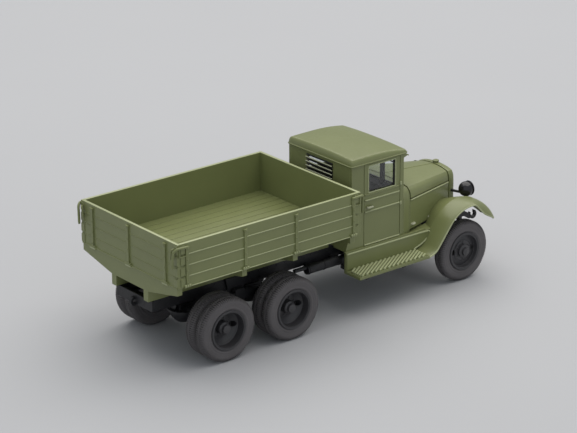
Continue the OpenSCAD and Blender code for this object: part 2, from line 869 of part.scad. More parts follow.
module bonnet_sides() {
    t = skin_t;
    color(body_green) pair() difference() {
        translate([0, 0, hood_bottom]) linear_extrude(height = hinge_rear - hood_bottom + 1) polygon([
            [hood_rear, hood_y_rear], [hood_front, hood_y_front], [hood_front, hood_y_front - t],
            [hood_rear, hood_y_rear - t]]);
        translate([hood_rear, 0, hinge_rear - hinge_seam]) rotate([0, hinge_tilt, 0])
            translate([-5, 0, 0]) cube([hood_front - hood_rear + 10, hood_y_rear + 5, 5]);
    }
}

shell_z = rail_top;
shell_top = ridge_front;
core_y = hood_y_front - 1.4;
core_bottom = shell_z + 1.4;
core_top = shell_top - 1.6;
shell_points = hood_outline(hood_y_front, hinge_front, shell_top, shell_z);
core_points = [
    [-core_y, core_bottom], [core_y, core_bottom], [core_y, core_top - 1.8], [core_y - 1.8, core_top],
    [-core_y + 1.8, core_top], [-core_y, core_top - 1.8]];

module radiator_shell() {
    color(body_green) difference() {
        slab_yz(shell_points, hood_front, shell_front);
        slab_yz(core_points, hood_front - 1, shell_front + 1);
    }
}

core_slats = 14;
core_pitch = 2 * (core_y - 0.4) / core_slats;

module radiator_core() {
    front = shell_front - 0.4;
    color(chassis_black) difference() {
        slab_yz(core_points, hood_front, front);
        for (i = [0 : core_slats])
            span([front - 0.5, -core_y + 0.4 + i * core_pitch - 0.25, core_bottom - 1],
                [front + 1, -core_y + 0.4 + i * core_pitch + 0.25, core_top + 1]);
    }
}

cap_r = 1.1;
neck_h = 0.4;

module radiator_cap() {
    color(body_green) translate([shell_front - cap_r, 0, shell_top]) {
        cylinder(h = neck_h, r = cap_r - 0.3, $fn = 48);
        translate([0, 0, neck_h]) cylinder(h = 0.7, r = cap_r, $fn = 48);
    }
}

// headlamps on arms from the radiator shell

lamp_r = lamp_d / 2;
lamp_ahead = 7.1;
lamp_aside = 5.3;
lamp_rise = 1.95;
lamp_x = wing_x + lamp_ahead;
lamp_y = liner_y(lamp_x - lamp_r) + lamp_aside;
lamp_z = wing_top + lamp_rise;

module headlamps() {
    color(chassis_black) pair() difference() {
        translate([lamp_x, lamp_y, lamp_z]) rotate([0, 90, 0]) rotate_extrude($fn = 72) {
            intersection() {
                circle(r = lamp_r, $fn = 72);
                translate([0, -lamp_r]) square([lamp_r, lamp_r]);
            }
            square([lamp_r, 0.4]);
            translate([0, 0.4]) square([lamp_r + 0.25, 0.7]);
        }
        rod_x(lamp_y, lamp_z, lamp_x + 0.5, lamp_x + 3, lamp_r - 0.25);
    }
}

module headlamp_lenses() {
    color(clear) pair() rod_x(lamp_y, lamp_z, lamp_x + 0.5, lamp_x + 1.1, lamp_r - 0.25 - fit);
}

arm_drop = 1.7;
arm_r = 0.45;
arm_z = lamp_z - arm_drop;
arm_back = 0.6;
arm_run = lamp_x - arm_back - hood_front - radiator_t / 2;
arm_turn = atan2(arm_run, lamp_y - hood_y_front);
arm_len = (lamp_y - hood_y_front) / cos(arm_turn);

module headlamp_arms() {
    color(chassis_black) pair() difference() {
        intersection() {
            translate([lamp_x - arm_back, lamp_y, arm_z]) rotate([0, 0, -arm_turn])
                rod_y(0, 0, -arm_len - 2, 0, arm_r);
            span([0, hood_y_front, 0], [lamp_x + 5, lamp_y + 5, lamp_z]);
        }
        translate([lamp_x, lamp_y, lamp_z]) sphere(r = lamp_r + fit, $fn = 72);
    }
}

// wings: a crowned section swept over the wheel and down to the running board

wing_z = wing_top - wing_r;
wing_tip_a = 23;
wing_slope_a = 142;
crown_y = apron_out + 0.5;
foot_r = 6;
foot_crown = skin_t + 0.1;
foot_z = step_bottom;
slope_x = wing_x + wing_r * cos(wing_slope_a);
slope_z = wing_z + wing_r * sin(wing_slope_a);
slope_drop = slope_z - foot_z - foot_r * (1 - sin(wing_slope_a));
slope_len = slope_drop / -cos(wing_slope_a);
foot_x0 = slope_x - sin(wing_slope_a) * slope_len;
foot_cx = foot_x0 + foot_r * cos(wing_slope_a);
step_front = foot_cx;

// stations along the outer edge: [x, z, angle of the outward normal, share of the crown]
arc_stations = [
    for (i = [0 : 16])
        let (a = wing_tip_a + (wing_slope_a - wing_tip_a) * i / 16)
        [wing_x + wing_r * cos(a), wing_z + wing_r * sin(a), a, 1]];
slope_stations = [
    for (i = [1 : 3])
        let (s = slope_len * i / 3)
        [slope_x - sin(wing_slope_a) * s, slope_z + cos(wing_slope_a) * s, wing_slope_a, 1]];
foot_stations = [
    for (i = [1 : 6])
        let (a = wing_slope_a + (90 - wing_slope_a) * i / 6)
        [foot_cx - foot_r * cos(a), foot_z + foot_r - foot_r * sin(a), a, 1 - i / 6]];
wing_stations = concat(arc_stations, slope_stations, foot_stations);

function crown_at(s) = foot_crown + (wing_crown - foot_crown) * s[3];
function edge_y(s) = wing_y - 1.4 * pow(max(0, (40 - s[2]) / 20), 2) * (s[2] < 60 ? 1 : 0);
function lift(s, h, y) = [s[0] + h * cos(s[2]), y, s[1] + h * sin(s[2])];

// section of the outer wing: over the top from inside to the edge, then back underneath
wing_n = 8;
function wing_section(s) = concat(
    [for (i = [0 : wing_n])
        let (a = 90 * i / wing_n)
        lift(s, crown_at(s) * cos(a), i == 0 ? apron_out : crown_y + (edge_y(s) - crown_y) * sin(a))],
    [for (i = [wing_n : -1 : 0])
        let (a = 90 * i / wing_n)
        lift(s, (crown_at(s) - skin_t) * cos(a),
            i == 0 ? apron_out : crown_y + (edge_y(s) - skin_t - crown_y) * sin(a))]);

// closed skin through a list of sections with the same number of points
module sweep(sections) {
    n = len(sections[0]);
    m = len(sections);
    points = [for (s = sections) for (p = s) p];
    sides = [
        for (i = [0 : m - 2]) for (j = [0 : n - 1])
            let (a = i * n + j, b = i * n + (j + 1) % n)
            each [[a, b, b + n], [a, b + n, a + n]]];
    caps = [[for (j = [n - 1 : -1 : 0]) j], [for (j = [0 : n - 1]) (m - 1) * n + j]];
    polyhedron(points = points, faces = concat(sides, caps), convexity = 6);
}

module wing() {
    sweep([for (s = wing_stations) wing_section(s)]);
}

module left_wing() {
    color(body_green) wing();
}

module right_wing() {
    color(body_green) mirror([0, 1, 0]) wing();
}

// inner part of the wing, falling from the crown to the bonnet side and ending on the shelf;
// below liner_turn degrees it keeps outside the frame rail
liner_drop = 5.7;
liner_n = 3;
function liner_y(x, a = 90) = max(a < liner_turn ? rail_out + 0.25 : hood_y_front, hood_side(x));
function liner_h(y) =
    wing_crown - liner_drop * pow(max(0, crown_y - y) / (crown_y - hood_y_front), 1.25);

// end on the shelf: slide the point down the slope to the shelf's top
function to_shelf(s, h) =
    s[0] + h * cos(s[2]) - (s[1] + h * sin(s[2]) - shelf_top) * sin(s[2]) / -cos(s[2]);
function liner_x(s, h, last) = last ? to_shelf(s, h) : s[0] + h * cos(s[2]);
function liner_point(s, k, down, last) =
    let (
        inner = liner_y(liner_x(s, 0, last), s[2]),
        h0 = liner_h(inner) - down,
        y0 = liner_y(liner_x(s, h0, last), s[2]),
        y = y0 + (apron_out - y0) * k / liner_n,
        h = k == 0 ? h0 : liner_h(y) - down)
    [liner_x(s, h, last), y, last ? shelf_top : s[1] + h * sin(s[2])];
function liner_section(s, last) = concat(
    [for (k = [0 : liner_n]) liner_point(s, k, 0, last)],
    [for (k = [liner_n : -1 : 0]) liner_point(s, k, skin_t, last)]);
last_arc = arc_stations[16];
liner_end = liner_section(last_arc, true);

module wing_liners() {
    color(body_green) pair() sweep(concat([for (s = arc_stations) liner_section(s, false)], [liner_end]));
}

apron_front = liner_end[liner_n + 1][0] + 0.4;
lip_front = liner_end[liner_n][0] - 0.6;
lip_h = 0.5;
lip_w = 0.35;

module apron() {
    slab_xz([
        [step_rear, step_z], [step_front, step_z], [foot_x0, foot_z + 3], [apron_front, shelf_top],
        [lip_front, shelf_top], [lip_front - 1, apron_top], [step_rear, apron_top]], cab_y, apron_out);
    span([door_front, rail_out, shelf_bottom], [apron_front, cab_y, shelf_top]);
    span([step_rear, apron_out, shelf_top - lip_h], [lip_front, apron_out + lip_w, shelf_top]);
}

module left_apron() {
    color(body_green) apron();
}

module right_apron() {
    color(body_green) mirror([0, 1, 0]) apron();
}

rib_angle = 33;
rib_w = 0.6;
rib_h = 0.35;
rib_run = step_y - apron_out;
rib_len = rib_run / sin(rib_angle) + 1;
rib_pitch = (step_front - step_rear + rib_run) / step_ribs;

module running_boards() {
    color(body_green) pair() {
        span([step_rear, cab_y, step_bottom], [step_front, step_y, step_z]);
        intersection() {
            span([step_rear + 0.6, apron_out + 0.2, step_z - 0.1],
                [step_front - 0.6, step_y - 0.4, step_z + rib_h]);
            for (i = [0 : step_ribs])
                translate([step_rear - rib_run + i * rib_pitch, step_y, step_z - 0.1])
                    rotate([0, 0, -rib_angle]) cube([rib_len, rib_w, rib_h + 0.2]);
        }
    }
}

// wheels, drawn about the Z axis with the outside up and the tyre's middle on z = 0

shoulder = 1.3;

module tyre_section() {
    w = tyre_w / 2;
    difference() {
        union() {
            translate([rim_r + fit, -w]) square([tyre_d / 2 - shoulder - rim_r - fit, tyre_w]);
            translate([tyre_d / 2 - shoulder - 0.5, -w + shoulder])
                square([shoulder + 0.5, tyre_w - 2 * shoulder]);
            for (side = [-1, 1])
                translate([tyre_d / 2 - shoulder, side * (w - shoulder)]) circle(r = shoulder, $fn = 48);
        }
        translate([0, w - bead_t]) square([rim_r + bead + fit, 1]);
    }
}

module tyre_at(y) {
    translate([0, y, 0]) rotate([-90, 0, 0]) rotate_extrude($fn = 96) tyre_section();
}

hand_holes = 2;
hole_r = 1;
hole_pcd = 8.6;

module holes() {
    for (i = [0 : hand_holes - 1]) rotate([0, 0, i * 360 / hand_holes])
        translate([hole_pcd / 2, 0, -10]) cylinder(h = 20, r = hole_r, $fn = 32);
}

hub_r = 2.3;
front_stop = 0.8;

module front_wheel() {
    w = tyre_w / 2;
    difference() {
        union() {
            rotate_extrude($fn = 96) polygon([
                [0, -w + 0.2], [hub_r, -w + 0.2], [hub_r, 0.2], [rim_r - 0.8, -0.2],
                [rim_r - 0.8, -w + 0.3], [rim_r, -w + 0.3], [rim_r, w - bead_t], [rim_r + bead, w - bead_t],
                [rim_r + bead, w], [rim_r - 0.5, w], [rim_r - 0.9, 0.6], [hub_r + 1, 1.1],
                [hub_r, 1.1], [hub_r, 1.9], [1.5, 2.2], [1.4, 3], [0, 3.2]]);
        }
        holes();
        translate([0, 0, -w - 1]) cylinder(h = w + 1 + front_stop, r = pin_r + fit, $fn = 48);
    }
}

twin_stop = -2;

module twin_wheel() {
    w = tyre_w / 2;
    in = -twin_pitch - w;
    difference() {
        union() {
            rotate_extrude($fn = 96) polygon([
                [0, in + 0.9], [hub_r, in + 0.9], [hub_r, -2.9], [3.4, -2.9], [rim_r - 0.9, -1.4],
                [rim_r - 0.9, in + 0.3], [rim_r, in + 0.3], [rim_r, w - bead_t], [rim_r + bead, w - bead_t],
                [rim_r + bead, w], [rim_r - 0.4, w], [rim_r - 0.6, -0.6], [3.6, -2.2], [hub_r, -2.2],
                [hub_r - 0.2, -0.2], [1.5, 0.2], [1.4, 1.1], [0, 1.3]]);
            rotate_extrude($fn = 96)
                translate([rim_r - 0.1, -twin_pitch + w]) square([1, twin_pitch - tyre_w]);
        }
        holes();
        translate([0, 0, in - 1]) cylinder(h = twin_stop - in + 1, r = pin_r + fit, $fn = 48);
    }
}

module axle_pin(x, end) {
    color(steel) rod_y(x, axle_z, -end, end, pin_r);
}

module wheels_at(x, y) {
    color(wheel_black) pair() translate([x, y, axle_z]) rotate([-90, 0, 0]) children();
}

module front_pin() {
    axle_pin(front_axle_x, front_wheel_y + front_stop);
}

module front_wheels() {
    wheels_at(front_axle_x, front_wheel_y) front_wheel();
}

module front_tyres() {
    color(rubber) pair() translate([front_axle_x, 0, axle_z]) tyre_at(front_wheel_y);
}

module twin_tyres(x) {
    color(rubber) pair() translate([x, 0, axle_z]) {
        tyre_at(rear_wheel_y);
        tyre_at(rear_wheel_y - twin_pitch);
    }
}

module mid_pin() {
    axle_pin(mid_axle_x, rear_wheel_y + twin_stop);
}

module mid_wheels() {
    wheels_at(mid_axle_x, rear_wheel_y) twin_wheel();
}

module mid_tyres() {
    twin_tyres(mid_axle_x);
}

module rear_pin() {
    axle_pin(rear_axle_x, rear_wheel_y + twin_stop);
}

module rear_wheels() {
    wheels_at(rear_axle_x, rear_wheel_y) twin_wheel();
}

module rear_tyres() {
    twin_tyres(rear_axle_x);
}

frame_rails();
cross_members();
front_axle();
front_springs();
mid_axle();
rear_axle();
bogie_springs();
bogie_brackets();
engine();
drive_shafts();
muffler();
step_brackets();
tow_hooks();
rear_hitch();
bed_sills();
bed_bearers();
bed_floor();
left_board();
right_board();
front_board();
tailgate();
corner_latches();
cab_floor();
cab_back();
cab_quarters();
left_door();
right_door();
cab_front_frame();
cab_roof();
sun_visor();
window_grille();
glazing();
seat();
dashboard();
steering_wheel();
cowl();
bonnet_top();
bonnet_sides();
radiator_shell();
radiator_core();
radiator_cap();
headlamps();
headlamp_lenses();
headlamp_arms();
left_wing();
right_wing();
wing_liners();
left_apron();
right_apron();
running_boards();
front_pin();
front_wheels();
front_tyres();
mid_pin();
mid_wheels();
mid_tyres();
rear_pin();
rear_wheels();
rear_tyres();
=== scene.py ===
"""Looks of the truck model: materials, tyres with tread, small fittings, studio and camera."""
from collections import namedtuple
import json
from math import cos, degrees, pi, radians, sin, sqrt, tan

import bmesh
import bpy
from mathutils import Matrix, Vector


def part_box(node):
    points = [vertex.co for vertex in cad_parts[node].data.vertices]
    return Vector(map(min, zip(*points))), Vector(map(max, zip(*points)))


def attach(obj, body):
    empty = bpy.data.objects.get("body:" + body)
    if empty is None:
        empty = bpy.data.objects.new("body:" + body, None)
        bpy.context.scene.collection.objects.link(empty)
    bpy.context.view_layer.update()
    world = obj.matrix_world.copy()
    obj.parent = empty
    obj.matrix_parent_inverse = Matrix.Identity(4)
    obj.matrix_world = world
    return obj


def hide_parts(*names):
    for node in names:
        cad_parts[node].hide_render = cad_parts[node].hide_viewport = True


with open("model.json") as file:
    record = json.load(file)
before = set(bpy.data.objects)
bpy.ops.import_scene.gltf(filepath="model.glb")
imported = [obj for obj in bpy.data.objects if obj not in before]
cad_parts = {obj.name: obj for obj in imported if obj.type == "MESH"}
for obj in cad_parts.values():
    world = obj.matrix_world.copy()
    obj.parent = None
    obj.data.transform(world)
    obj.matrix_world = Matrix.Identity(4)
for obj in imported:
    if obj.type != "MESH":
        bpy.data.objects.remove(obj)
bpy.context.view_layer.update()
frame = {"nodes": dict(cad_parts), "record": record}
nodes = frame["nodes"]

# camera, from the photograph's vanishing lines and the CAD's corners
IMAGE_W = 577
SENSOR_W = 36
CAMERA_AZ = 38.82
CAMERA_EL = 20.91
CAMERA_ROLL = -0.3
CAMERA_DISTANCE = 0.7823
CAMERA_FOCAL_PX = 2363.9
CAMERA_TARGET = Vector((-0.0031, 0.0033, 0.0299))

# studio, in metres
FLOOR_SIZE = 6
FLOOR_DARK = (0.415, 0.42, 0.435, 1)
FLOOR_PALE = (0.43, 0.435, 0.45, 1)
SKY_COLOUR = (0.6, 0.63, 0.66, 1)
SKY_DIM_SIDE = (0.55, 0.65, 0)
SKY_RANGE = 0.8
SKY_BRIGHT = 1.1
SKY_DIM = 0.5
LAMP_SIZE = (1.5, 1.3)
LAMP_ENERGY = 12
LAMP_COLOUR = (1, 0.965, 0.92)
LAMP_PLACE = Vector((0.22, 0.15, 0.85))

# one millimetre, the distance at which points are joined and the widths of the painted edge highlights, in
# metres
MM = 0.001
MERGE = 0.000002
PAINT_EDGE = 0.00014
PLASTIC_EDGE = 0.0001

# what repeats: left and right sides, and axles
SIDES = (1, -1)
NAMED_SIDES = ((1, "left"), (-1, "right"))
AXLES = ("front", "mid", "rear")

# from here on lengths are in millimetres and angles in degrees: skins and shut lines
SKIN = 0.8
SEAM = 0.3

# tyres: tread as (across, rise, depth of the cross grooves) from the middle, sidewall as (across, radius)
TYRE_W = 4.3
TWIN_PITCH = 5.1
SHOULDER = 1.3
SHOULDER_STEPS = (0, 14, 28, 42, 56, 68, 78)
SHOULDER_FADE = 70
RIM_R = 6.3
BEAD = 0.45
BEAD_IN = 1.78
LUGS = 92
LUG_STEPS = ((0.0, 0), (0.44, 0), (0.54, 1), (0.9, 1))
GROOVE = 0.36
GROOVE_FROM = 0.4
TREAD = (
    (0.0, 0, 0.0), (0.2, 0, 0.0), (0.24, -0.2, 0.0), (0.36, -0.2, 0.0), (GROOVE_FROM, 0, 1.0), (0.62, 0, 1.0),
)
SIDEWALL = (
    (2.15, 9.38), (2.18, 9.05), (2.18, 8.85), (2.12, 8.8), (2.12, 8.68), (2.17, 8.62), (2.14, 8.1),
    (2.1, 7.75), (2.17, 7.62), (2.17, 7.3), (2.06, 7.12), (1.98, 6.86),
)

# wheel discs: the face's place out from the tyre's middle, its nuts, its cap's rivets and the step in its rim
Hub = namedtuple("Hub", "face nuts nut_r cap_r cap_y rim_step")
FRONT_HUB = Hub(face=1.1, nuts=6, nut_r=2.85, cap_r=1.85, cap_y=2.0, rim_step=-0.25)
TWIN_HUB = Hub(face=-2.2, nuts=8, nut_r=2.95, cap_r=1.75, cap_y=0.05, rim_step=1.3)
WHEEL_NUT = 0.3
CAP_RIVETS = 6
CAP_RIVET = 0.16
DISC_R = 3.75

# wings: arch, slope and foot along the outer edge, crown across, and the inner parts
WING_X = 54.8
WING_R = 12.0
WING_Z = 15.5
WING_Y = 23.8
WING_TIP = 23
WING_SLOPE = 142
WING_CROWN = 1.3
CROWN_Y = 17.5
ARC_STEPS = 49
SLOPE_STEPS = 6
FOOT_STEPS = 15
SECTION_STEPS = 15
FOOT_R = 6.0
FOOT_Z = 13.7
FOOT_CROWN = 0.9
FOOT_SHARE = 0.4
DRAWN_FROM = 40
DRAWN_OVER = 20
DRAWN_IN = 1.4
EDGE_DROP = 2.2
EDGE_DROP_FROM = 82
ROLLED_R = 0.3
ROLLED_IN = 0.28
FLANGE = 2.4
TIP_FROM = 80
TIP_ROUND = 6.2
LINER_DROP = 3.2
LINER_TURN = 50
LINER_STEPS = 9
RAIL_CLEAR = 9.8
SHELF_TOP = 20.6
SHELF_FROM = 37.5
SHELF_TO = 45.5
SHELF_SLANT = 1.5

# aprons and running boards
APRON_OUT = 17.0
APRON_BASE = 14.8
APRON_FOOT = 33.6
APRON = (
    (5.0, 20.5), (6.0, 20.5), (20.0, 20.4), (34.0, 20.3), (39.6, 20.2),
    (41.2, 19.9), (41.5, 19.2), (40.5, 17.9), (37.8, 16.2), (34.4, 15.1),
)
RIBS = 20
RIB_ANGLE = 33
RIB_HALF = 0.3
RIB_MARGIN = 0.7
RIB_LEAST = 0.6

# cab
CAB_FRONT = 30.3
CAB_Y = 16.2
SILL_Z = 39.6
SCREEN_SILL = 38.0
SCREEN_HALF = 13.6
SCREEN_BAR = 45.6
WINDOW_TOP = 48.7
PANE_REAR = 2.1
PANE_FRONT = 2.3
DOOR_BELTS = (37.1, 33.1)
DOOR_FOOT = 21.5
HANDLE_Z = 34.6
SLATS = (47.85, 46.35, 44.9, 43.45)
SLAT_LEAN = 0.46
WIPER_ARM = ((0.2, 6.5, 48.6), (0.35, 5.2, 46), (0.25, 3.4, 43))
SEAT_DEEP = 8
PLEATS = 13
DIALS = (5.2, 7.6, 10.0)
PEDALS = (5.8, 7.6, 9.4)
GEAR_LEVER = ((22.0, 0.8, 22.4), (21.6, 0.9, 27), (20.4, 1.0, 31.5))
GEAR_KNOB = (20.4, 1.0, 31.3)

# cab roof: its gutter as (inset, level) and the steps of its rounded edge
GUTTER = 0.25
GUTTER_H = 0.38
GUTTER_ROWS = ((0.6, 0), (0.08, 0), (0, 0.08), (0, 0.32), (0.07, 0.4), (0.24, 0.41))
ROOF_EDGE = 1.05
ROOF_CORNER = 1.2
ROOF_STEPS = (8, 20, 32, 44, 55, 66, 76, 84, 90)
ROOF_ALONG = 26
ROOF_ACROSS = 32
ROOF_PEAK = 0.45
REAR_FALL = 0.1
FRONT_FALL = 1.1
SIDE_FALL = 0.45

# bonnet: its section as shares of half width and height, and its catches as (x, z)
HOOD_REAR = 34.3
HOOD_FRONT = 58.2
HOOD_Y_REAR = 15.2
HOOD_Y_FRONT = 8.1
HINGE_REAR = 32.4
HINGE_FRONT = 31.3
RIDGE_REAR = 37.4
RIDGE_FRONT = 35.7
CROWN_SIDE = ((1, 0), (0.985, 0.3), (0.955, 0.52), (0.905, 0.69))
CROWN_TOP = ((0.905, 0.69), (0.84, 0.785), (0.5, 0.93), (0, 1), (-0.5, 0.93))
CATCHES = ((35.9, 23.3), (46.2, 22.5))
BAIL = ((-0.7, 0), (-0.6, 0.75), (0.6, 0.6), (0.75, 0))

# radiator shell as (distance back, share of the way in), and lamps
SHELL_ROWS = ((2.3, 0), (0.5, 0), (0.18, 0.06), (0, 0.22), (0, 0.62), (0.15, 0.9), (0.5, 1), (2.3, 1))
SHELL_OUT = 0.15
SHELL_UP = 0.12
SHELL_INSIDE = 0.78
CORE_RODS = 7
CORE_HALF = 6.4
KNURLS = 20
LAMP_R = 2.62
LAMP_SINK = 0.2
LAMP_BOWL = 122
LAMP_BACK = 0.62
LENS_RIBS = 9

# load bed
STRAP_OUT = 0.7
SIDE_STRAPS = (-66.5, -43.9, -23.5, 0.2)
GATE_STRAPS = (-19.5, 0.0, 19.5)
BOARD_Z = 30.8
PLANK = 3.625
PLANKS = 4
FRAME_POSTS = (0.5, 3.7)
FRAME_FOOT = 4.1

# chassis
RAIL_RIVETS = 34
RIVET_PITCH = 3.6
BOWL_BOLTS = 14
BOWL_R = 5.25
CLIP = ((10.2, -1.2), (10.2, 4.2), (11.5, 4.9), (12.9, 4.2), (12.9, -1.2))
MUFFLER = (-12.15, 17.0)
MUFFLER_R = 1.6
MUFFLER_BANDS = (-7.6, -1.3, 5.0)


def srgb(red, green, blue):
    """Linear colour of an sRGB triple given as 0 to 255."""
    def channel(value):
        value /= 255
        return value / 12.92 if value <= 0.04045 else ((value + 0.055) / 1.055) ** 2.4
    return (channel(red), channel(green), channel(blue), 1)


def shade(colour, share):
    """Colour made darker or paler by a share."""
    return tuple(c * share for c in colour[:3]) + (1,)


class Graph:
    """Short way to write a material's nodes."""

    def __init__(self, name):
        self.material = bpy.data.materials.new(name)
        self.material.use_nodes = True
        self.tree = self.material.node_tree
        self.shader = self.tree.nodes["Principled BSDF"]
        self.coords = self.tree.nodes.new("ShaderNodeTexCoord").outputs["Object"]

    def add(self, kind, inputs=None, **settings):
        """New node of a kind, with its settings and inputs."""
        node = self.tree.nodes.new("ShaderNode" + kind)
        for key, value in settings.items():
            setattr(node, key, value)
        for key, value in (inputs or {}).items():
            self.feed(node.inputs[key], value)
        return node

    def feed(self, socket, value):
        """Link a socket to another one, or set it to a constant."""
        if isinstance(value, bpy.types.NodeSocket):
            self.tree.links.new(value, socket)
        else:
            socket.default_value = value

    def set(self, **values):
        """Feed the shader's inputs, named with _ for a space."""
        for key, value in values.items():
            self.feed(self.shader.inputs[key.replace("_", " ")], value)

    def noise(self, per_metre, detail=3):
        """Noise over the object, from 0 to 1."""
        return self.add(
            "TexNoise", {"Vector": self.coords, "Scale": per_metre, "Detail": detail, "Roughness": 0.55}
        ).outputs["Fac"]

    def ramp(self, value, low, high, to_low, to_high):
        """Value moved from one range to another."""
        return self.add(
            "MapRange",
            {"Value": value, "From Min": low, "From Max": high, "To Min": to_low, "To Max": to_high},
        ).outputs["Result"]

    def mix(self, factor, first, second):
        """Colour between two others."""
        node = self.add("Mix", data_type="RGBA")
        self.feed(node.inputs[0], factor)
        self.feed(node.inputs[6], first)
        self.feed(node.inputs[7], second)
        return node.outputs[2]

    def edges(self, radius):
        """Rounded normal, and how far it leans from the flat one (0 on a face, up at an edge)."""
        rounded = self.add("Bevel", {"Radius": radius}, samples=6).outputs["Normal"]
        flat = self.add("NewGeometry").outputs["Normal"]
        lean = self.add("VectorMath", {0: rounded, 1: flat}, operation="DOT_PRODUCT").outputs["Value"]
        return rounded, self.ramp(lean, 0.99, 0.75, 0, 1)

    def bump(self, height, distance, strength, normal=None):
        """Normal of a fine relief, laid over another normal where one is given."""
        inputs = {"Height": height, "Distance": distance, "Strength": strength}
        if normal is not None:
            inputs["Normal"] = normal
        return self.add("Bump", inputs).outputs["Normal"]


def painted(name, colour, edge_highlight, rough=0.42):
    """Satin model paint: slow tone drift, fine peel, and paler edges that are a painted highlight."""
    g = Graph(name)
    rounded, lean = g.edges(PAINT_EDGE)
    drift = g.mix(g.ramp(g.noise(60), 0.3, 0.7, 0, 1), colour, shade(colour, 0.9))
    g.set(
        # edges mixed toward a paler colour: a painted highlight
        Base_Color=g.mix(g.ramp(lean, 0, 1, 0, 0.55), drift, edge_highlight),
        Roughness=g.ramp(g.noise(900, 2), 0.3, 0.7, rough - 0.05, rough + 0.06),
        Normal=g.bump(g.noise(2600, 2), 0.00003, 0.25, rounded),
    )
    return g.material


def moulded(name, colour, rough=0.5):
    """Black or grey moulded plastic with a faint grain, and paler edges that are a painted highlight."""
    g = Graph(name)
    rounded, lean = g.edges(PLASTIC_EDGE)
    pale = tuple(min(1, c * 1.9 + 0.01) for c in colour[:3]) + (1,)
    drift = g.mix(g.ramp(g.noise(120), 0.3, 0.7, 0, 1), colour, shade(colour, 1.25))
    g.set(
        # edges mixed toward a paler colour: a painted highlight
        Base_Color=g.mix(g.ramp(lean, 0, 1, 0, 0.6), drift, pale),
        Roughness=g.ramp(g.noise(1200, 2), 0.3, 0.7, rough - 0.06, rough + 0.08),
        Normal=g.bump(g.noise(5000, 2), 0.00002, 0.3, rounded),
    )
    return g.material


def clear(name, tint):
    """Clear moulded plastic with a trace of ripple."""
    g = Graph(name)
    g.set(
        Base_Color=g.mix(g.ramp(g.noise(90), 0.3, 0.7, 0, 1), tint, shade(tint, 0.96)),
        Transmission_Weight=1.0,
        IOR=1.46,
        Roughness=0.02,
        Normal=g.bump(g.noise(140, 1), 0.00002, 0.1),
    )
    return g.material


# the paler second colour of each paint is its edges' painted highlight
PAINT = painted("olive_paint", srgb(118, 124, 80), srgb(162, 166, 120), rough=0.34)
# pale paint for beads, ribs, caps, hinges and rolled edges: its paleness is a painted highlight
EDGE = painted("pale_highlight_paint", srgb(163, 169, 128), srgb(190, 194, 156), rough=0.36)
BLACK = moulded("chassis_plastic", srgb(17, 17, 20))
LAMP = moulded("lamp_black", srgb(20, 19, 22), rough=0.12)
WHEEL = moulded("wheel_plastic", srgb(52, 51, 53), rough=0.4)
GREY = moulded("interior_plastic", srgb(62, 62, 66), rough=0.6)
RUBBER = moulded("tyre_rubber", srgb(80, 77, 78), rough=0.66)
STEEL = moulded("axle_steel", srgb(150, 150, 152), rough=0.35)
# pale paint; along the rear window slats' tops it is a painted highlight
SLAT = painted("slat_paint", srgb(176, 178, 150), srgb(214, 215, 196))
CLEAR = clear("clear_plastic", (0.93, 0.96, 0.96, 1))

SLOT_MATERIAL = {
    "body_green": PAINT,
    "chassis_black": BLACK,
    "wheel_black": WHEEL,
    "interior_grey": GREY,
    "tyre_rubber": RUBBER,
    "axle_steel": STEEL,
    "clear_plastic": CLEAR,
}
for row in frame["record"]["subparts"]:
    node = nodes[row["node"]]
    node.data.materials.clear()
    node.data.materials.append(SLOT_MATERIAL[row["material_slot"]])


def reach(name):
    """Lowest and highest corner of a node, in millimetres."""
    low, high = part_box(name)
    return Vector(low) / MM, Vector(high) / MM


def spread(first, last, count):
    """Even run of numbers from first to last."""
    return [first + (last - first) * i / (count - 1) for i in range(count)]


def smooth_path(points, steps=6):
    """Points of a curve that passes through the given ones."""
    points = [Vector(p) for p in points]
    ends = [2 * points[0] - points[1]] + points + [2 * points[-1] - points[-2]]
    path = []
    for a, b, c, d in zip(ends, ends[1:], ends[2:], ends[3:]):
        slope, bend, twist = c - a, 2 * a - 5 * b + 4 * c - d, 3 * b - a - 3 * c + d
        for i in range(steps):
            t = i / steps
            path.append((2 * b + slope * t + bend * t * t + twist * t ** 3) / 2)
    return path + [points[-1]]


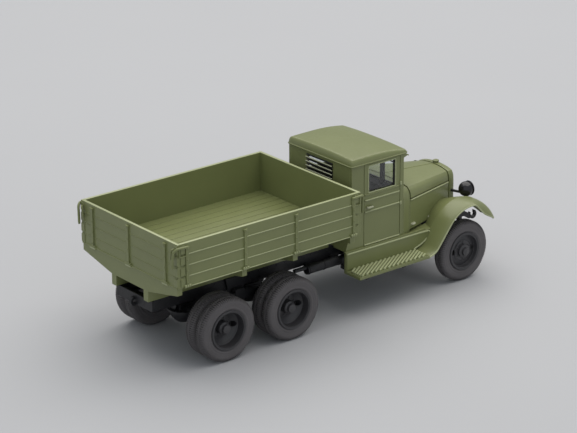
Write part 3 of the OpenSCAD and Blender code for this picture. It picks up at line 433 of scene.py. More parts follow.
class Kit:
    """Points and faces of one piece, gathered in millimetres."""

    def __init__(self):
        self.points = []
        self.faces = []

    def grid(self, rows, closed=False, loop=False, caps=False):
        """Skin through rows of points, capped at its open ends where asked.

        closed joins each row's ends, and loop joins the last row to the first.
        """
        start = len(self.points)
        wide = len(rows[0])
        high = len(rows)
        for row in rows:
            self.points.extend(Vector(p) for p in row)
        for i in range(high if loop else high - 1):
            for j in range(wide if closed else wide - 1):
                here, above = start + i * wide, start + (i + 1) % high * wide
                after = (j + 1) % wide
                self.faces.append((here + j, here + after, above + after, above + j))
        if caps and closed:
            self.faces.append(tuple(range(start, start + wide)))
            self.faces.append(tuple(range(start + (high - 1) * wide, start + high * wide)))
        if caps and loop:
            self.faces.append(tuple(start + i * wide for i in range(high)))
            self.faces.append(tuple(start + i * wide + wide - 1 for i in range(high)))

    def block(self, low, high):
        """Box between two opposite corners."""
        corners = ((0, 0), (1, 0), (1, 1), (0, 1))
        ends = (low, high)
        self.grid(
            [[(ends[a][0], ends[b][1], ends[top][2]) for a, b in corners] for top in (0, 1)],
            closed=True, caps=True,
        )

    def prism(self, outline, axis, start, end):
        """Outline in the plane across an axis (0, 1 or 2), drawn out from start to end."""
        rows = [[list(p) for p in outline] for _ in range(2)]
        for row, place in zip(rows, (start, end)):
            for point in row:
                point.insert(axis, place)
        self.grid(rows, closed=True, caps=True)

    def lathe(self, origin, axis, profile, sides):
        """Profile of (radius, height) turned about an axis; its ends lie on the axis or are capped."""
        origin, axis = Vector(origin), Vector(axis).normalized()
        side = axis.orthogonal().normalized()
        other = axis.cross(side)
        self.grid(
            [
                [
                    origin + axis * height + radius * (side * cos(a) + other * sin(a))
                    for a in (2 * pi * i / sides for i in range(sides))
                ]
                for radius, height in profile
            ],
            closed=True, caps=True,
        )

    def tube(self, path, radius, sides=10, loop=False):
        """Round bar along a path; radius may be one number or one for each point."""
        path = [Vector(p) for p in path]
        count = len(path)
        radii = radius if isinstance(radius, (list, tuple)) else [radius] * count
        rows = []
        across = None
        for i, point in enumerate(path):
            before = path[i - 1] if i or loop else point
            after = path[(i + 1) % count] if i + 1 < count or loop else point
            along = (after - before).normalized()
            across = along.orthogonal() if across is None else across - along * across.dot(along)
            across.normalize()
            other = along.cross(across)
            rows.append([
                point + radii[i] * (across * cos(a) + other * sin(a))
                for a in (2 * pi * k / sides for k in range(sides))
            ])
        self.grid(rows, closed=True, loop=loop, caps=not loop)

    def ring(self, centre, axis, radius, thick, steps=72, sides=8):
        """Round bar bent into a ring."""
        centre, axis = Vector(centre), Vector(axis).normalized()
        side = axis.orthogonal().normalized()
        other = axis.cross(side)
        turns = (2 * pi * i / steps for i in range(steps))
        self.tube([centre + radius * (side * cos(a) + other * sin(a)) for a in turns],
                  thick, sides, loop=True)

    def bolt(self, at, axis, size):
        """Hexagon nut on a washer with the stud's end showing."""
        washer = [(0, -0.1), (size * 1.25, -0.1), (size * 1.25, size * 0.25), (0, size * 0.25)]
        nut = [(0, 0), (size, 0), (size, size * 0.8), (size * 0.86, size * 0.95), (0, size * 0.95)]
        stud_r, stud_top = size * 0.5, size * 1.4
        stud = [(0, 0), (stud_r, 0), (stud_r, size * 1.25), (size * 0.35, stud_top), (0, stud_top)]
        self.lathe(at, axis, washer, 16)
        self.lathe(at, axis, nut, 6)
        self.lathe(at, axis, stud, 10)

    def rivet(self, at, axis, size):
        """Domed rivet head."""
        dome = [(size * cos(a), size * 0.7 * sin(a)) for a in (0, 0.5, 1.0, pi / 2)]
        self.lathe(at, axis, [(0, -0.1), (size, -0.1)] + dome, 12)

    def make(self, name, material, slot, body="truck", bevel=0, sharp=40, stands_for=()):
        """Blender object of the gathered shapes, riding on a body."""
        mesh = bpy.data.meshes.new(name)
        mesh.from_pydata([p * MM for p in self.points], [], self.faces)
        work = bmesh.new()
        work.from_mesh(mesh)
        bmesh.ops.remove_doubles(work, verts=work.verts, dist=MERGE)
        bmesh.ops.dissolve_degenerate(work, edges=work.edges, dist=MERGE / 2)
        bmesh.ops.recalc_face_normals(work, faces=work.faces)
        if bevel:
            corners = [
                e for e in work.edges if e.is_manifold and e.calc_face_angle(0) > radians(sharp)
            ]
            bmesh.ops.bevel(
                work, geom=corners, offset=bevel * MM, segments=2, profile=0.5,
                affect="EDGES", clamp_overlap=True,
            )
        work.to_mesh(mesh)
        work.free()
        mesh.polygons.foreach_set("use_smooth", [True] * len(mesh.polygons))
        mesh.set_sharp_from_angle(angle=radians(sharp))
        mesh.materials.append(material)
        piece = bpy.data.objects.new(name, mesh)
        bpy.context.scene.collection.objects.link(piece)
        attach(piece, body)
        if stands_for:
            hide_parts(*stands_for)


# tyres and wheels

def tyre_profile(radius):
    """Half a tyre from the middle of its tread to its bead: across, radius, share of the groove."""
    side = [(across, radius + rise, depth) for across, rise, depth in TREAD]
    for angle in SHOULDER_STEPS:
        a = radians(angle)
        fade = 1 if angle < SHOULDER_FADE else 0.5
        across = TYRE_W / 2 - SHOULDER + SHOULDER * sin(a)
        side.append((across, radius - SHOULDER * (1 - cos(a)), fade))
    return side + [(across, r, 0) for across, r in SIDEWALL]


def tyre(kit, centre, out, radius):
    """Tyre with staggered cross grooves; out is +1 or -1, the way its outside faces."""
    side = tyre_profile(radius)
    inside = ((BEAD_IN, RIM_R + BEAD), (BEAD_IN, RIM_R), (-TYRE_W / 2, RIM_R))
    lug_turn = 2 * pi / LUGS

    def at(r, a, across):
        return (centre[0] + r * cos(a), centre[1] + out * across, centre[2] + r * sin(a))

    def half(a, low, facing, shift):
        points = []
        for across, r, depth in side:
            turned = a + lug_turn * shift * min(1, across / GROOVE_FROM)
            points.append(at(r - GROOVE * depth * low, turned, facing * across))
        return points

    rows = []
    for lug in range(LUGS):
        for share, low in LUG_STEPS:
            a = lug_turn * (lug + share)
            far, near = half(a, low, -1, 0.5), half(a, low, 1, 0)
            rows.append(far[::-1] + near[1:] + [at(r, a, across) for across, r in inside])
    kit.grid(rows, closed=True, loop=True)


def tyres():
    """Tyres of the three axles, twins on the two rear ones."""
    for axle in AXLES:
        low, high = reach(axle + "_tyres")
        middle = (low + high) / 2
        kit = Kit()
        lines = [high.y - TYRE_W / 2]
        if axle != "front":
            lines.append(lines[0] - TWIN_PITCH)
        for out in SIDES:
            for y in lines:
                tyre(kit, (middle.x, out * y, middle.z), out, (high.z - low.z) / 2)
        kit.make(
            axle + "_treaded_tyres", RUBBER, "tyre_rubber", axle + "_wheelset", sharp=32,
            stands_for=(axle + "_tyres",),
        )


def wheel_fittings():
    """Nuts, cap rivets and rim beads of the three axles."""
    for axle in AXLES:
        low, high = reach(axle + "_tyres")
        middle = (low + high) / 2
        y = high.y - TYRE_W / 2
        hub = FRONT_HUB if axle == "front" else TWIN_HUB
        rings = (
            (RIM_R + 0.12, TYRE_W / 2, 0.2),
            (RIM_R - 0.85, hub.face + hub.rim_step, 0.16),
            (DISC_R, hub.face + 0.05, 0.1),
        )
        kit = Kit()
        for out in SIDES:
            def at(r, a, across):
                return (middle.x + r * cos(a), out * (y + across), middle.z + r * sin(a))
            for i in range(hub.nuts):
                kit.bolt(at(hub.nut_r, 2 * pi * (i + 0.5) / hub.nuts, hub.face), (0, out, 0), WHEEL_NUT)
            for i in range(CAP_RIVETS):
                kit.rivet(at(hub.cap_r, 2 * pi * i / CAP_RIVETS, hub.cap_y), (0, out, 0), CAP_RIVET)
            for radius, across, thick in rings:
                kit.ring(at(0, 0, across), (0, 1, 0), radius, thick)
        kit.make(axle + "_wheel_fittings", WHEEL, "wheel_black", axle + "_wheelset")


# wings, following the solids' stations and sections

def wing_stations():
    """Stations along the outer edge: x, z, angle of the outward normal, share of the crown."""
    tip, lean = radians(WING_TIP), radians(WING_SLOPE)
    stations = [
        (WING_X + WING_R * cos(a), WING_Z + WING_R * sin(a), a, 1.0)
        for a in spread(tip, lean, ARC_STEPS)
    ]
    x, z = stations[-1][:2]
    drop = z - FOOT_Z - FOOT_R * (1 - sin(lean))
    run = drop / -cos(lean)
    stations += [
        (x - sin(lean) * s, z + cos(lean) * s, lean, 1 - (1 - FOOT_SHARE) * s / run)
        for s in spread(0, run, SLOPE_STEPS)[1:]
    ]
    foot_x = stations[-1][0] + FOOT_R * cos(lean)
    for share in spread(0, 1, FOOT_STEPS)[1:]:
        a = lean + (pi / 2 - lean) * share
        x, z = foot_x - FOOT_R * cos(a), FOOT_Z + FOOT_R - FOOT_R * sin(a)
        stations.append((x, z, a, FOOT_SHARE * (1 - share)))
    return stations


def wing_edge(angle):
    """Outer edge's distance from the middle plane, drawn in at the front tip."""
    inward = max(0, (DRAWN_FROM - degrees(angle)) / DRAWN_OVER)
    return WING_Y - DRAWN_IN * inward ** 2


def edge_drop(angle):
    """How far the outer edge hangs below its arc, ahead of the arch's top."""
    share = (EDGE_DROP_FROM - degrees(angle)) / (EDGE_DROP_FROM - WING_TIP)
    return EDGE_DROP * sin(pi * share) if 0 < share < 1 else 0


def crown_at(station):
    """Height of the crown over the outer edge."""
    return FOOT_CROWN + (WING_CROWN - FOOT_CROWN) * station[3]


def lifted(station, height, y):
    """Point at a height over a station, along its normal."""
    x, z, angle = station[:3]
    return Vector((x + height * cos(angle), y, z + height * sin(angle)))


def wing_over(station, sink):
    """Section of the outer wing from inside to the edge, sunk by the skin for its underside."""
    rise = crown_at(station) - sink
    edge = wing_edge(station[2]) - sink
    drop = edge_drop(station[2])
    points = [lifted(station, rise, APRON_OUT)]
    for a in spread(0, pi / 2, SECTION_STEPS)[1:]:
        y = CROWN_Y + (edge - CROWN_Y) * sin(a)
        points.append(lifted(station, rise * cos(a) - drop * sin(a) ** 5, y))
    return points


def wing_flange(station):
    """Section of the strip that closes the wing's slope and foot against the apron."""
    inner = CAB_Y + 0.2
    corners = ((0.05, APRON_OUT), (0.05, inner), (FLANGE, inner), (FLANGE, APRON_OUT))
    return [lifted(station, crown_at(station) - down, y) for down, y in corners]


def hood_side(x):
    """Bonnet side's distance from the middle plane."""
    return HOOD_Y_REAR + (HOOD_Y_FRONT - HOOD_Y_REAR) * (x - HOOD_REAR) / (HOOD_FRONT - HOOD_REAR)


def liner_over(station, sink, last):
    """Section of the inner wing out from the bonnet side; the last one lies on the shelf."""
    x, z, angle = station[:3]

    def place(height):
        if not last:
            return x + height * cos(angle)
        over = z + height * sin(angle) - SHELF_TOP
        return x + height * cos(angle) - over * sin(angle) / -cos(angle)

    def height_at(y):
        fall = max(0, CROWN_Y - y) / (CROWN_Y - HOOD_Y_FRONT)
        return WING_CROWN - LINER_DROP * fall ** 1.25 - sink

    ahead = max(0, (TIP_FROM - degrees(angle)) / (TIP_FROM - WING_TIP))
    least = (RAIL_CLEAR if degrees(angle) < LINER_TURN else HOOD_Y_FRONT) + TIP_ROUND * ahead ** 1.5
    start = max(least, hood_side(place(height_at(max(least, hood_side(place(0)))))))
    points = []
    for y in spread(start, APRON_OUT, LINER_STEPS):
        height = height_at(y)
        points.append(Vector((place(height), y, SHELF_TOP if last else z + height * sin(angle))))
    return points


def liner_shelf(kit, side):
    """Flat shelf between the liner, the bonnet side and the apron."""
    inner = [(x, hood_side(x) - 0.2) for x in (SHELF_FROM, SHELF_TO)]
    outer = [(x, APRON_OUT - 0.1) for x in (SHELF_TO - SHELF_SLANT, SHELF_FROM)]
    kit.prism([(x, side * y) for x, y in inner + outer], 2, SHELF_TOP - SKIN, SHELF_TOP + 0.02)


def mirrored(points, side):
    """Points of the left side, or their mirror images on the right one."""
    return [Vector((p[0], side * p[1], p[2])) for p in points]


def wings():
    """Both wings and their inner parts, with a rolled edge in pale paint as a painted highlight."""
    stations = wing_stations()
    arc = stations[:ARC_STEPS]
    liner, bead = Kit(), Kit()
    for side, name in NAMED_SIDES:
        kit = Kit()
        kit.grid(
            [mirrored(wing_over(s, 0) + wing_over(s, SKIN)[::-1], side) for s in stations],
            closed=True, caps=True,
        )
        kit.grid([mirrored(wing_flange(s), side) for s in stations[ARC_STEPS - 1:]], closed=True, caps=True)
        kit.make(name + "_wing_skin", PAINT, "body_green", stands_for=(name + "_wing",))
        rows = [(s, False) for s in arc] + [(arc[-1], True)]
        liner.grid(
            [mirrored(liner_over(s, 0, e) + liner_over(s, SKIN, e)[::-1], side) for s, e in rows],
            closed=True, caps=True,
        )
        liner_shelf(liner, side)
        edge = [lifted(s, 0.02 - edge_drop(s[2]), wing_edge(s[2]) - ROLLED_IN) for s in stations[::-1]]
        tip = wing_over(arc[0], ROLLED_IN)[::-1][1:] + liner_over(arc[0], ROLLED_IN, False)[::-1][1:]
        bead.tube(mirrored(edge + tip, side), ROLLED_R, 10)
    liner.make("wing_liner_skins", PAINT, "body_green", stands_for=("wing_liners",))
    bead.make("wing_rolled_edges", EDGE, "body_green")


# cab roof, cowl and bonnet

def roof_top(x, y):
    """Height of the roof: crowned across and falling to the front and, a little, to the rear."""
    low, high = reach("cab_roof")
    inset = GUTTER + ROOF_EDGE
    along = (x - low.x - inset) / (high.x - low.x - 2 * inset) - ROOF_PEAK
    across = abs(y) / (high.y - inset)
    if along < 0:
        fall = REAR_FALL * (along / ROOF_PEAK) ** 2
    else:
        fall = FRONT_FALL * (along / (1 - ROOF_PEAK)) ** 2
    return high.z - fall - SIDE_FALL * across ** 2.28


def roof_loop(inset, corner, height):
    """Rounded rectangle of the roof, inset from its gutter; height is a function of x and y."""
    low, high = reach("cab_roof")
    x0, x1, half = low.x + inset, high.x - inset, high.y - inset
    points = []
    for cx, cy, start in ((x1, half, 0), (x0, half, 90), (x0, -half, 180), (x1, -half, 270)):
        sx, sy = (1 if cx == x1 else -1), (1 if cy > 0 else -1)
        for a in spread(start, start + 90, 7):
            points.append((
                cx - sx * corner + corner * cos(radians(a)),
                cy - sy * corner + corner * sin(radians(a)),
            ))
        if start in (0, 180):
            points += [(x, cy) for x in spread(x1 - corner, x0 + corner, ROOF_ALONG)[1:-1]][:: sy]
        else:
            points += [(cx, y) for y in spread(half - corner, corner - half, ROOF_ACROSS)[1:-1]][:: -sx]
    return [(x, y, height(x, y)) for x, y in points]


def cab_roof():
    """Rounded slab over its gutter."""
    low, high = reach("cab_roof")
    base = low.z + GUTTER_H

    def flat(level):
        return lambda x, y: low.z + level

    def swelling(share):
        return lambda x, y: base + (roof_top(x, y) - base) * share

    rows = [roof_loop(inset, ROOF_CORNER - inset, flat(level)) for inset, level in GUTTER_ROWS]
    for angle in ROOF_STEPS:
        a = radians(angle)
        inset = GUTTER + ROOF_EDGE * (1 - cos(a))
        rows.append(roof_loop(inset, (ROOF_CORNER - GUTTER) * cos(a), swelling(sin(a))))
    kit = Kit()
    kit.grid(rows, closed=True)
    # the first row's points also bound the flat underside
    kit.faces.append(tuple(range(len(rows[0]))))
    inset = GUTTER + ROOF_EDGE
    half = high.y - inset
    kit.grid([
        [(x, y, roof_top(x, y)) for y in spread(half, -half, ROOF_ACROSS)]
        for x in spread(low.x + inset, high.x - inset, ROOF_ALONG)
    ])
    kit.make("cab_roof_skin", PAINT, "body_green", sharp=50, stands_for=("cab_roof",))


def crown(half, low, high):
    """Section of the bonnet over the ridge: (y, z) from the left hinge line to the right one."""
    side = [smooth_path([(*p, 0) for p in run], 5) for run in (CROWN_SIDE, CROWN_TOP)]
    points = [(half * p[0], low + (high - low) * p[1]) for p in side[0][:-1] + side[1] if p[0] >= 0]
    return points + [(-y, z) for y, z in points[-2::-1]]


def between(ends, share):
    """Numbers part of the way from one end's to the other's."""
    return [a + (b - a) * share for a, b in zip(*ends)]


def shell(kit, section, steps):
    """Sheet of skin; section gives x and (y, z) points for a share and a sink."""
    sections = [section(s, 0) for s in spread(0, 1, steps)] + [section(s, SKIN) for s in spread(1, 0, steps)]
    kit.grid([[(x, y, z) for y, z in points] for x, points in sections], loop=True, caps=True)


def cowl():
    """Scuttle between bonnet and cab, with raised beads at the bonnet and the cab."""
    base = reach("cowl")[0].z
    ends = (
        (CAB_FRONT, CAB_Y, HINGE_REAR + 1.2, SCREEN_SILL - 0.1),
        (HOOD_REAR - 0.1, HOOD_Y_REAR, HINGE_REAR, RIDGE_REAR),
    )

    def section(share, sink):
        x, half, low, high = between(ends, share)
        points = crown(half - sink, low, high - sink)
        return x, [(half - sink, base)] + points + [(sink - half, base)]

    kit = Kit()
    shell(kit, section, 6)
    kit.make("cowl_skin", PAINT, "body_green", sharp=30, stands_for=("cowl",))
    bead = Kit()
    for share, out in ((0.9, 0.08), (0.03, 0.12)):
        x, points = section(share, -out + 0.22)
        bead.tube([(x, y, z) for y, z in points], 0.24, 8)
    bead.make("cowl_beads", PAINT, "body_green")


def bonnet():
    """Bonnet top with beads along its ridge and rear edge, and its side hinges in pale paint as a painted
    highlight.
    """
    ends = (
        (HOOD_REAR + SEAM, HOOD_Y_REAR, HINGE_REAR + SEAM, RIDGE_REAR),
        (HOOD_FRONT - SEAM, HOOD_Y_FRONT, HINGE_FRONT + SEAM, RIDGE_FRONT),
    )

    def section(share, sink):
        x, half, low, high = between(ends, share)
        return x, crown(half - sink, low, high - sink)

    kit = Kit()
    shell(kit, section, 12)
    kit.make("bonnet_top_skin", PAINT, "body_green", sharp=30, stands_for=("bonnet_top",))
    beads = Kit()
    (x0, _, _, z0), (x1, _, _, z1) = ends
    beads.tube([(x0 + 0.2, 0, z0), (x1 - 0.1, 0, z1)], 0.2, 8)
    x, points = section(0.012, 0.1)
    beads.tube([(x, y, z) for y, z in points], 0.2, 8)
    beads.make("bonnet_beads", PAINT, "body_green")
    hinges = Kit()
    for side in SIDES:
        line = [(x, side * (half + 0.05), hinge - SEAM - 0.34) for x, half, hinge, _ in ends]
        hinges.tube(line, 0.22, 8)
    hinges.make("bonnet_hinges", EDGE, "body_green")


def bonnet_catches():
    """Catches on the bonnet's sides, each a block with a bail over it."""
    kit = Kit()
    for side in SIDES:
        for x, z in CATCHES:
            y = hood_side(x)
            kit.block((x - 0.9, side * (y - 0.3), z - 0.3), (x + 0.9, side * (y + 0.45), z + 0.3))
            bail = [(x + along, side * (y + out), z) for along, out in BAIL]
            kit.tube(smooth_path(bail, 4), 0.22, 8)
    kit.make("bonnet_catches", SLAT, "body_green", bevel=0.05)


# radiator and lamps

def radiator():
    """Rounded radiator shell, the rim of its crank hole and the rods across its core."""
    low, high = reach("radiator_shell")
    base, front = low.z, high.x
    half, top = HOOD_Y_FRONT + SHELL_OUT, RIDGE_FRONT + SHELL_UP
    outer = [(half, base)] + crown(half, HINGE_FRONT, top) + [(-half, base)]
    tall = top - base
    inner = [(y * SHELL_INSIDE, base + 1.5 + (z - base) * (tall - 3.3) / tall) for y, z in outer]
    kit = Kit()
    kit.grid(
        [
            [(front - back, *between(pair, share)) for pair in zip(outer, inner)]
            for back, share in SHELL_ROWS
        ],
        closed=True, loop=True,
    )
    kit.make("radiator_shell_skin", PAINT, "body_green", sharp=50, stands_for=("radiator_shell",))
    rods = Kit()
    rods.ring((front - 0.2, 0, base + 2.6), (1, 0, 0), 0.7, 0.2, 24)
    for z in spread(base + 4.4, base + 11.6, CORE_RODS):
        rods.tube([(front - 0.42, y, z) for y in (-CORE_HALF, CORE_HALF)], 0.12, 6)
    rods.make("radiator_rods", BLACK, "chassis_black")


def filler_cap():
    """Radiator cap with a knurled rim."""
    low, high = reach("radiator_cap")
    x, r = (low.x + high.x) / 2, (high.y - low.y) / 2
    kit = Kit()
    kit.lathe((x, 0, low.z), (0, 0, 1), [
        (0, -0.2), (r - 0.25, -0.2), (r - 0.25, 0.25), (r - 0.05, 0.32), (r - 0.05, 0.75),
        (r - 0.25, 0.9), (0.35, 1.0), (0.3, 1.12), (0, 1.15),
    ], 32)
    for i in range(KNURLS):
        a = 2 * pi * i / KNURLS
        place = (x + (r - 0.06) * cos(a), (r - 0.06) * sin(a))
        kit.tube([(*place, low.z + 0.36), (*place, low.z + 0.72)], 0.09, 6)
    kit.make("knurled_cap", PAINT, "body_green", stands_for=("radiator_cap",))


def headlamps():
    """Round lamp shells with their rims and stems, and ribbed lenses."""
    low, high = reach("headlamp_lenses")
    radius = (high.z - low.z) / 2
    bowl = [(LAMP_R * sin(a), LAMP_R * cos(a)) for a in spread(0, radians(LAMP_BOWL), 20)]
    shells, lenses = Kit(), Kit()
    for side in SIDES:
        x = high.x - LAMP_R * LAMP_BACK
        y, z = side * (high.y - radius), (high.z + low.z) / 2 - LAMP_SINK
        shells.lathe((x, y, z), (-1, 0, 0), bowl + [(0, bowl[-1][1])], 48)
        shells.ring((high.x - 0.15, y, z), (1, 0, 0), radius - 0.1, 0.22, 48)
        shells.tube([(x, y - side * 2.2, z - 1.4), (x - 0.2, y - side * 3.2, z - 1.75)], 0.5, 12)
        lenses.lathe(
            (high.x - 0.1, y, z), (1, 0, 0),
            [(0, -0.3), (radius - 0.2, -0.3), (radius - 0.2, 0), (1.2, 0.12), (0, 0.16)], 40,
        )
        for offset in spread(-1.8, 1.8, LENS_RIBS):
            tall = sqrt((radius - 0.35) ** 2 - offset ** 2)
            lenses.tube([(high.x, y + offset, z - tall), (high.x, y + offset, z + tall)], 0.1, 6)
    shells.make("headlamp_shells", LAMP, "chassis_black", stands_for=("headlamps",))
    lenses.make("ribbed_lenses", CLEAR, "clear_plastic", stands_for=("headlamp_lenses",))


# load bed

def bed_ends():
    """Where the bed's rear and front faces lie along x."""
    return reach("bed_bearers")[0].x, reach("front_board")[1].x - STRAP_OUT


def bed_side():
    """Side boards' outer face and top, without the straps."""
    corner = reach("left_board")[1]
    return corner.y - STRAP_OUT, corner.z


def latches():
    """Corner hooks with their levers, side frames and rivets, at both ends of the bed."""
    half, top = bed_side()
    kit = Kit()
    for face, out in zip(bed_ends(), (-1, 1)):
        for side in SIDES:
            def at(away, past, down):
                return (face + out * away, side * (half + past), top - down)
            lever = smooth_path([
                at(-3.6, 0.1, 1.2), at(-3.2, 0.6, 1.1), at(-1.2, 0.6, 1.0), at(0.3, 0.35, 1.1),
                at(1.2, -0.3, 2.0), at(1.4, -0.6, 3.6), at(1.5, -0.85, 7.6),
            ])
            kit.tube(lever, [0.42] * (len(lever) - 1) + [0.34], 12)
            hook = smooth_path([
                at(-0.1, -1.3, 1.5), at(0.8, -1.5, 1.6), at(0.95, -2.0, 2.4), at(0.9, -2.4, 5.1),
            ])
            kit.tube(hook, [0.32] * (len(hook) - 1) + [0.24], 10)
            for post in FRAME_POSTS:
                kit.tube([at(-post, 0.2, 1.2), at(-post, 0.25, FRAME_FOOT)], 0.24, 8)
            kit.tube([at(-post, 0.25, FRAME_FOOT) for post in FRAME_POSTS], 0.24, 8)
            for down in (2.0, 4.6):
                kit.rivet(at(0.05, -1.2, down), (out, 0, 0), 0.28)
    kit.make("corner_levers", PAINT, "body_green", bevel=0.05, stands_for=("corner_latches",))


def plank_beads():
    """Beads between the planks of the boards, and caps along the boards' tops; the side boards' beads and the
    caps are in pale paint as a painted highlight.
    """
    rear, front = bed_ends()
    half, top = bed_side()
    pale, plain = Kit(), Kit()
    for i in range(PLANKS):
        z = BOARD_Z + i * PLANK + (0 if i else 0.15)
        for side in SIDES:
            ends = (SIDE_STRAPS[0] + 0.5, SIDE_STRAPS[-1] - 0.5)
            pale.tube([(x, side * (half + 0.06), z) for x in ends], 0.19, 8)
        for x in (rear, front):
            plain.tube([(x, 0.4 - half, z), (x, half - 0.4, z)], 0.15 if i else 0.3, 8)
    for name in ("left_board", "right_board", "front_board", "tailgate"):
        low, high = reach(name)
        x0, x1 = max(low.x, rear), min(high.x, front)
        y0, y1 = max(low.y, -half), min(high.y, half)
        pale.block((x0 + 0.03, y0 + 0.03, top - 0.25), (x1 - 0.03, y1 - 0.03, top + 0.08))
    pale.make("plank_beads", EDGE, "body_green", bevel=0.04)
    plain.make("end_plank_beads", PAINT, "body_green")


def strap_irons():
    """Bolt heads on the strap irons, and the hinges at their feet in pale paint as a painted highlight."""
    rear, front = bed_ends()
    half, top = bed_side()
    bolts, feet = Kit(), Kit()
    for z, size in ((top - 1.3, 0.5), (top - 5.4, 0.3), (top - 9, 0.3), (BOARD_Z + 1.6, 0.3)):
        for x in SIDE_STRAPS:
            for side in SIDES:
                bolts.rivet((x, side * (half + 0.5), z), (0, side, 0), size)
        for y in GATE_STRAPS:
            bolts.rivet((rear - 0.5, y, z), (-1, 0, 0), size)
            bolts.rivet((front + 0.5, y, z), (1, 0, 0), size)
    bolts.make("strap_bolts", PAINT, "body_green")
    for x in SIDE_STRAPS:
        for side in SIDES:
            for step in (-1, 0, 1):
                feet.ring((x + step * 0.8, side * (half + 0.2), BOARD_Z + 0.5), (1, 0, 0), 0.42, 0.16, 20, 6)
    for y in GATE_STRAPS:
        feet.tube([(rear - 0.2, y + step, BOARD_Z + 0.1) for step in (-1.4, 1.4)], 0.45, 12)
    feet.make("strap_hinges", EDGE, "body_green")


# aprons and running boards

def aprons():
    """Raised panels between running boards and cab, with a bead along their top and front in pale paint as a
    painted highlight.
    """
    outline = [(APRON[0][0], APRON_BASE), *APRON, (APRON_FOOT, APRON_BASE)]
    for side, name in NAMED_SIDES:
        kit = Kit()
        kit.prism(outline, 1, side * (APRON_OUT - 0.2), side * (APRON_OUT + 0.28))
        kit.make(name + "_apron_panel", PAINT, "body_green")
        line = [(x, side * (APRON_OUT + 0.22), z) for x, z in APRON]
        bead = Kit()
        bead.tube(line[:1] + smooth_path(line[1:]), 0.3, 10)
        bead.make(name + "_apron_bead", EDGE, "body_green")


def step_ribs():
    """Raised slanting ribs of the running boards, capping the solid ones, in pale paint as a painted
    highlight.
    """
    low, high = reach("running_boards")
    outer, inner = high.y - 0.4, APRON_OUT + 0.4
    first, last = low.x + RIB_MARGIN, high.x - RIB_MARGIN
    lean = tan(radians(RIB_ANGLE))
    run = high.y - APRON_OUT
    pitch = (high.x - low.x + run) / RIBS
    kit = Kit()
    for i in range(RIBS + 1):
        start = low.x - run + i * pitch + RIB_HALF
        x0, x1 = (start + (high.y - y) / lean for y in (outer, inner))
        y0, y1 = outer, inner
        if x0 < first:
            y0 -= (first - x0) * lean
            x0 = first
        if x1 > last:
            y1 += (x1 - last) * lean
            x1 = last
        if x1 - x0 < RIB_LEAST:
            continue
        for side in SIDES:
            kit.tube([(x0, side * y0, high.z - 0.1), (x1, side * y1, high.z - 0.1)], RIB_HALF + 0.1, 10)
    kit.make("step_ribs", EDGE, "body_green")


# cab trim

def window_slats():
    """Slats over the rear window, leaning outwards; their black is painted shade, the pale line along each
    top is a painted highlight, and a black strip above the top slat is painted shade.
    """
    low, high = reach("window_grille")
    plates, lines = Kit(), Kit()
    ends = (low.y + 0.7, high.y - 0.5)
    tip = high.x - SLAT_LEAN
    for z in SLATS:
        outline = [(high.x, z - 1.3), (tip, z - 0.2), (tip, z), (high.x - 0.2, z), (high.x + 0.15, z - 1.2)]
        plates.prism(outline, 1, *ends)
        lines.tube([(tip, y, z - 0.05) for y in ends], 0.2, 10)
    plates.block((high.x - 0.3, ends[0], SLATS[0] + 0.5), (high.x + 0.1, ends[1], WINDOW_TOP + 0.1))
    plates.make("rear_window_plates", BLACK, "chassis_black", bevel=0.03, stands_for=("window_grille",))
    lines.make("rear_window_slat_highlights", SLAT, "body_green")


def door_span():
    """Rear and front edge of the doors along x, then those of their panes."""
    low, high = reach("left_door")
    return low.x, high.x, low.x + PANE_REAR, high.x - PANE_FRONT


def door_lines(kit, side):
    """Belts, foot line, window edge and hinges of one door."""
    x0, x1, pane0, pane1 = door_span()
    y = side * CAB_Y
    for z, inset, out in ((DOOR_BELTS[0], 0.5, 0.12), (DOOR_BELTS[1], 0.5, 0.12), (DOOR_FOOT, 0.3, 0.05)):
        kit.tube([(x, y + side * out, z) for x in (x0 + inset, x1 - inset)], 0.26, 8)
    corners = [
        (pane0 - 0.15, y, SILL_Z - 0.1), (pane1 + 0.15, y, SILL_Z - 0.1),
        (pane1 + 0.15, y, WINDOW_TOP + 0.15), (pane0 - 0.15, y, WINDOW_TOP + 0.15),
    ]
    for a, b in zip(corners, corners[1:] + corners[:1]):
        kit.tube([a, b], 0.22, 8)
    pin = [(0, 0), (0.38, 0), (0.38, 1.1), (0, 1.1)]
    for z in (DOOR_BELTS[1] - 0.2, SILL_Z + 0.3):
        kit.lathe((x1 + 0.05, y + side * 0.2, z - 0.55), (0, 0, 1), pin, 14)


def door_sill(kit, side):
    """Sloping drip moulding under one door's window."""
    x0, x1 = door_span()[:2]
    section = ((-0.3, 0.15), (0.32, 0.5), (0.28, 0.75), (-0.3, 1.1))
    kit.prism([(side * CAB_Y + side * out, SILL_Z - down) for out, down in section], 0, x0 + 0.5, x1 - 0.5)


def door_window(kit, side):
    """Dark frame inside one door's window: front post, rear post and top."""
    pane0, pane1 = door_span()[2:]
    y = side * CAB_Y
    inside = y - side * 0.72
    kit.block((pane1 - 0.55, inside, SILL_Z), (pane1, y - side * 0.15, WINDOW_TOP))
    kit.block((pane0, inside, SILL_Z), (pane0 + 0.2, y - side * 0.3, WINDOW_TOP))
    kit.block((pane0, inside, WINDOW_TOP - 0.25), (pane1, y - side * 0.3, WINDOW_TOP))


def door_handle(kit, side):
    """Lever handle of one door."""
    rear = door_span()[0]
    points = ((1.3, 0.2, 0), (1.4, 0.72, 0.02), (2.3, 0.8, 0.08), (3.4, 0.62, 0))
    lever = [(rear + along, side * CAB_Y + side * out, HANDLE_Z + up) for along, out, up in points]
    kit.tube(smooth_path(lever, 5), 0.36, 10)


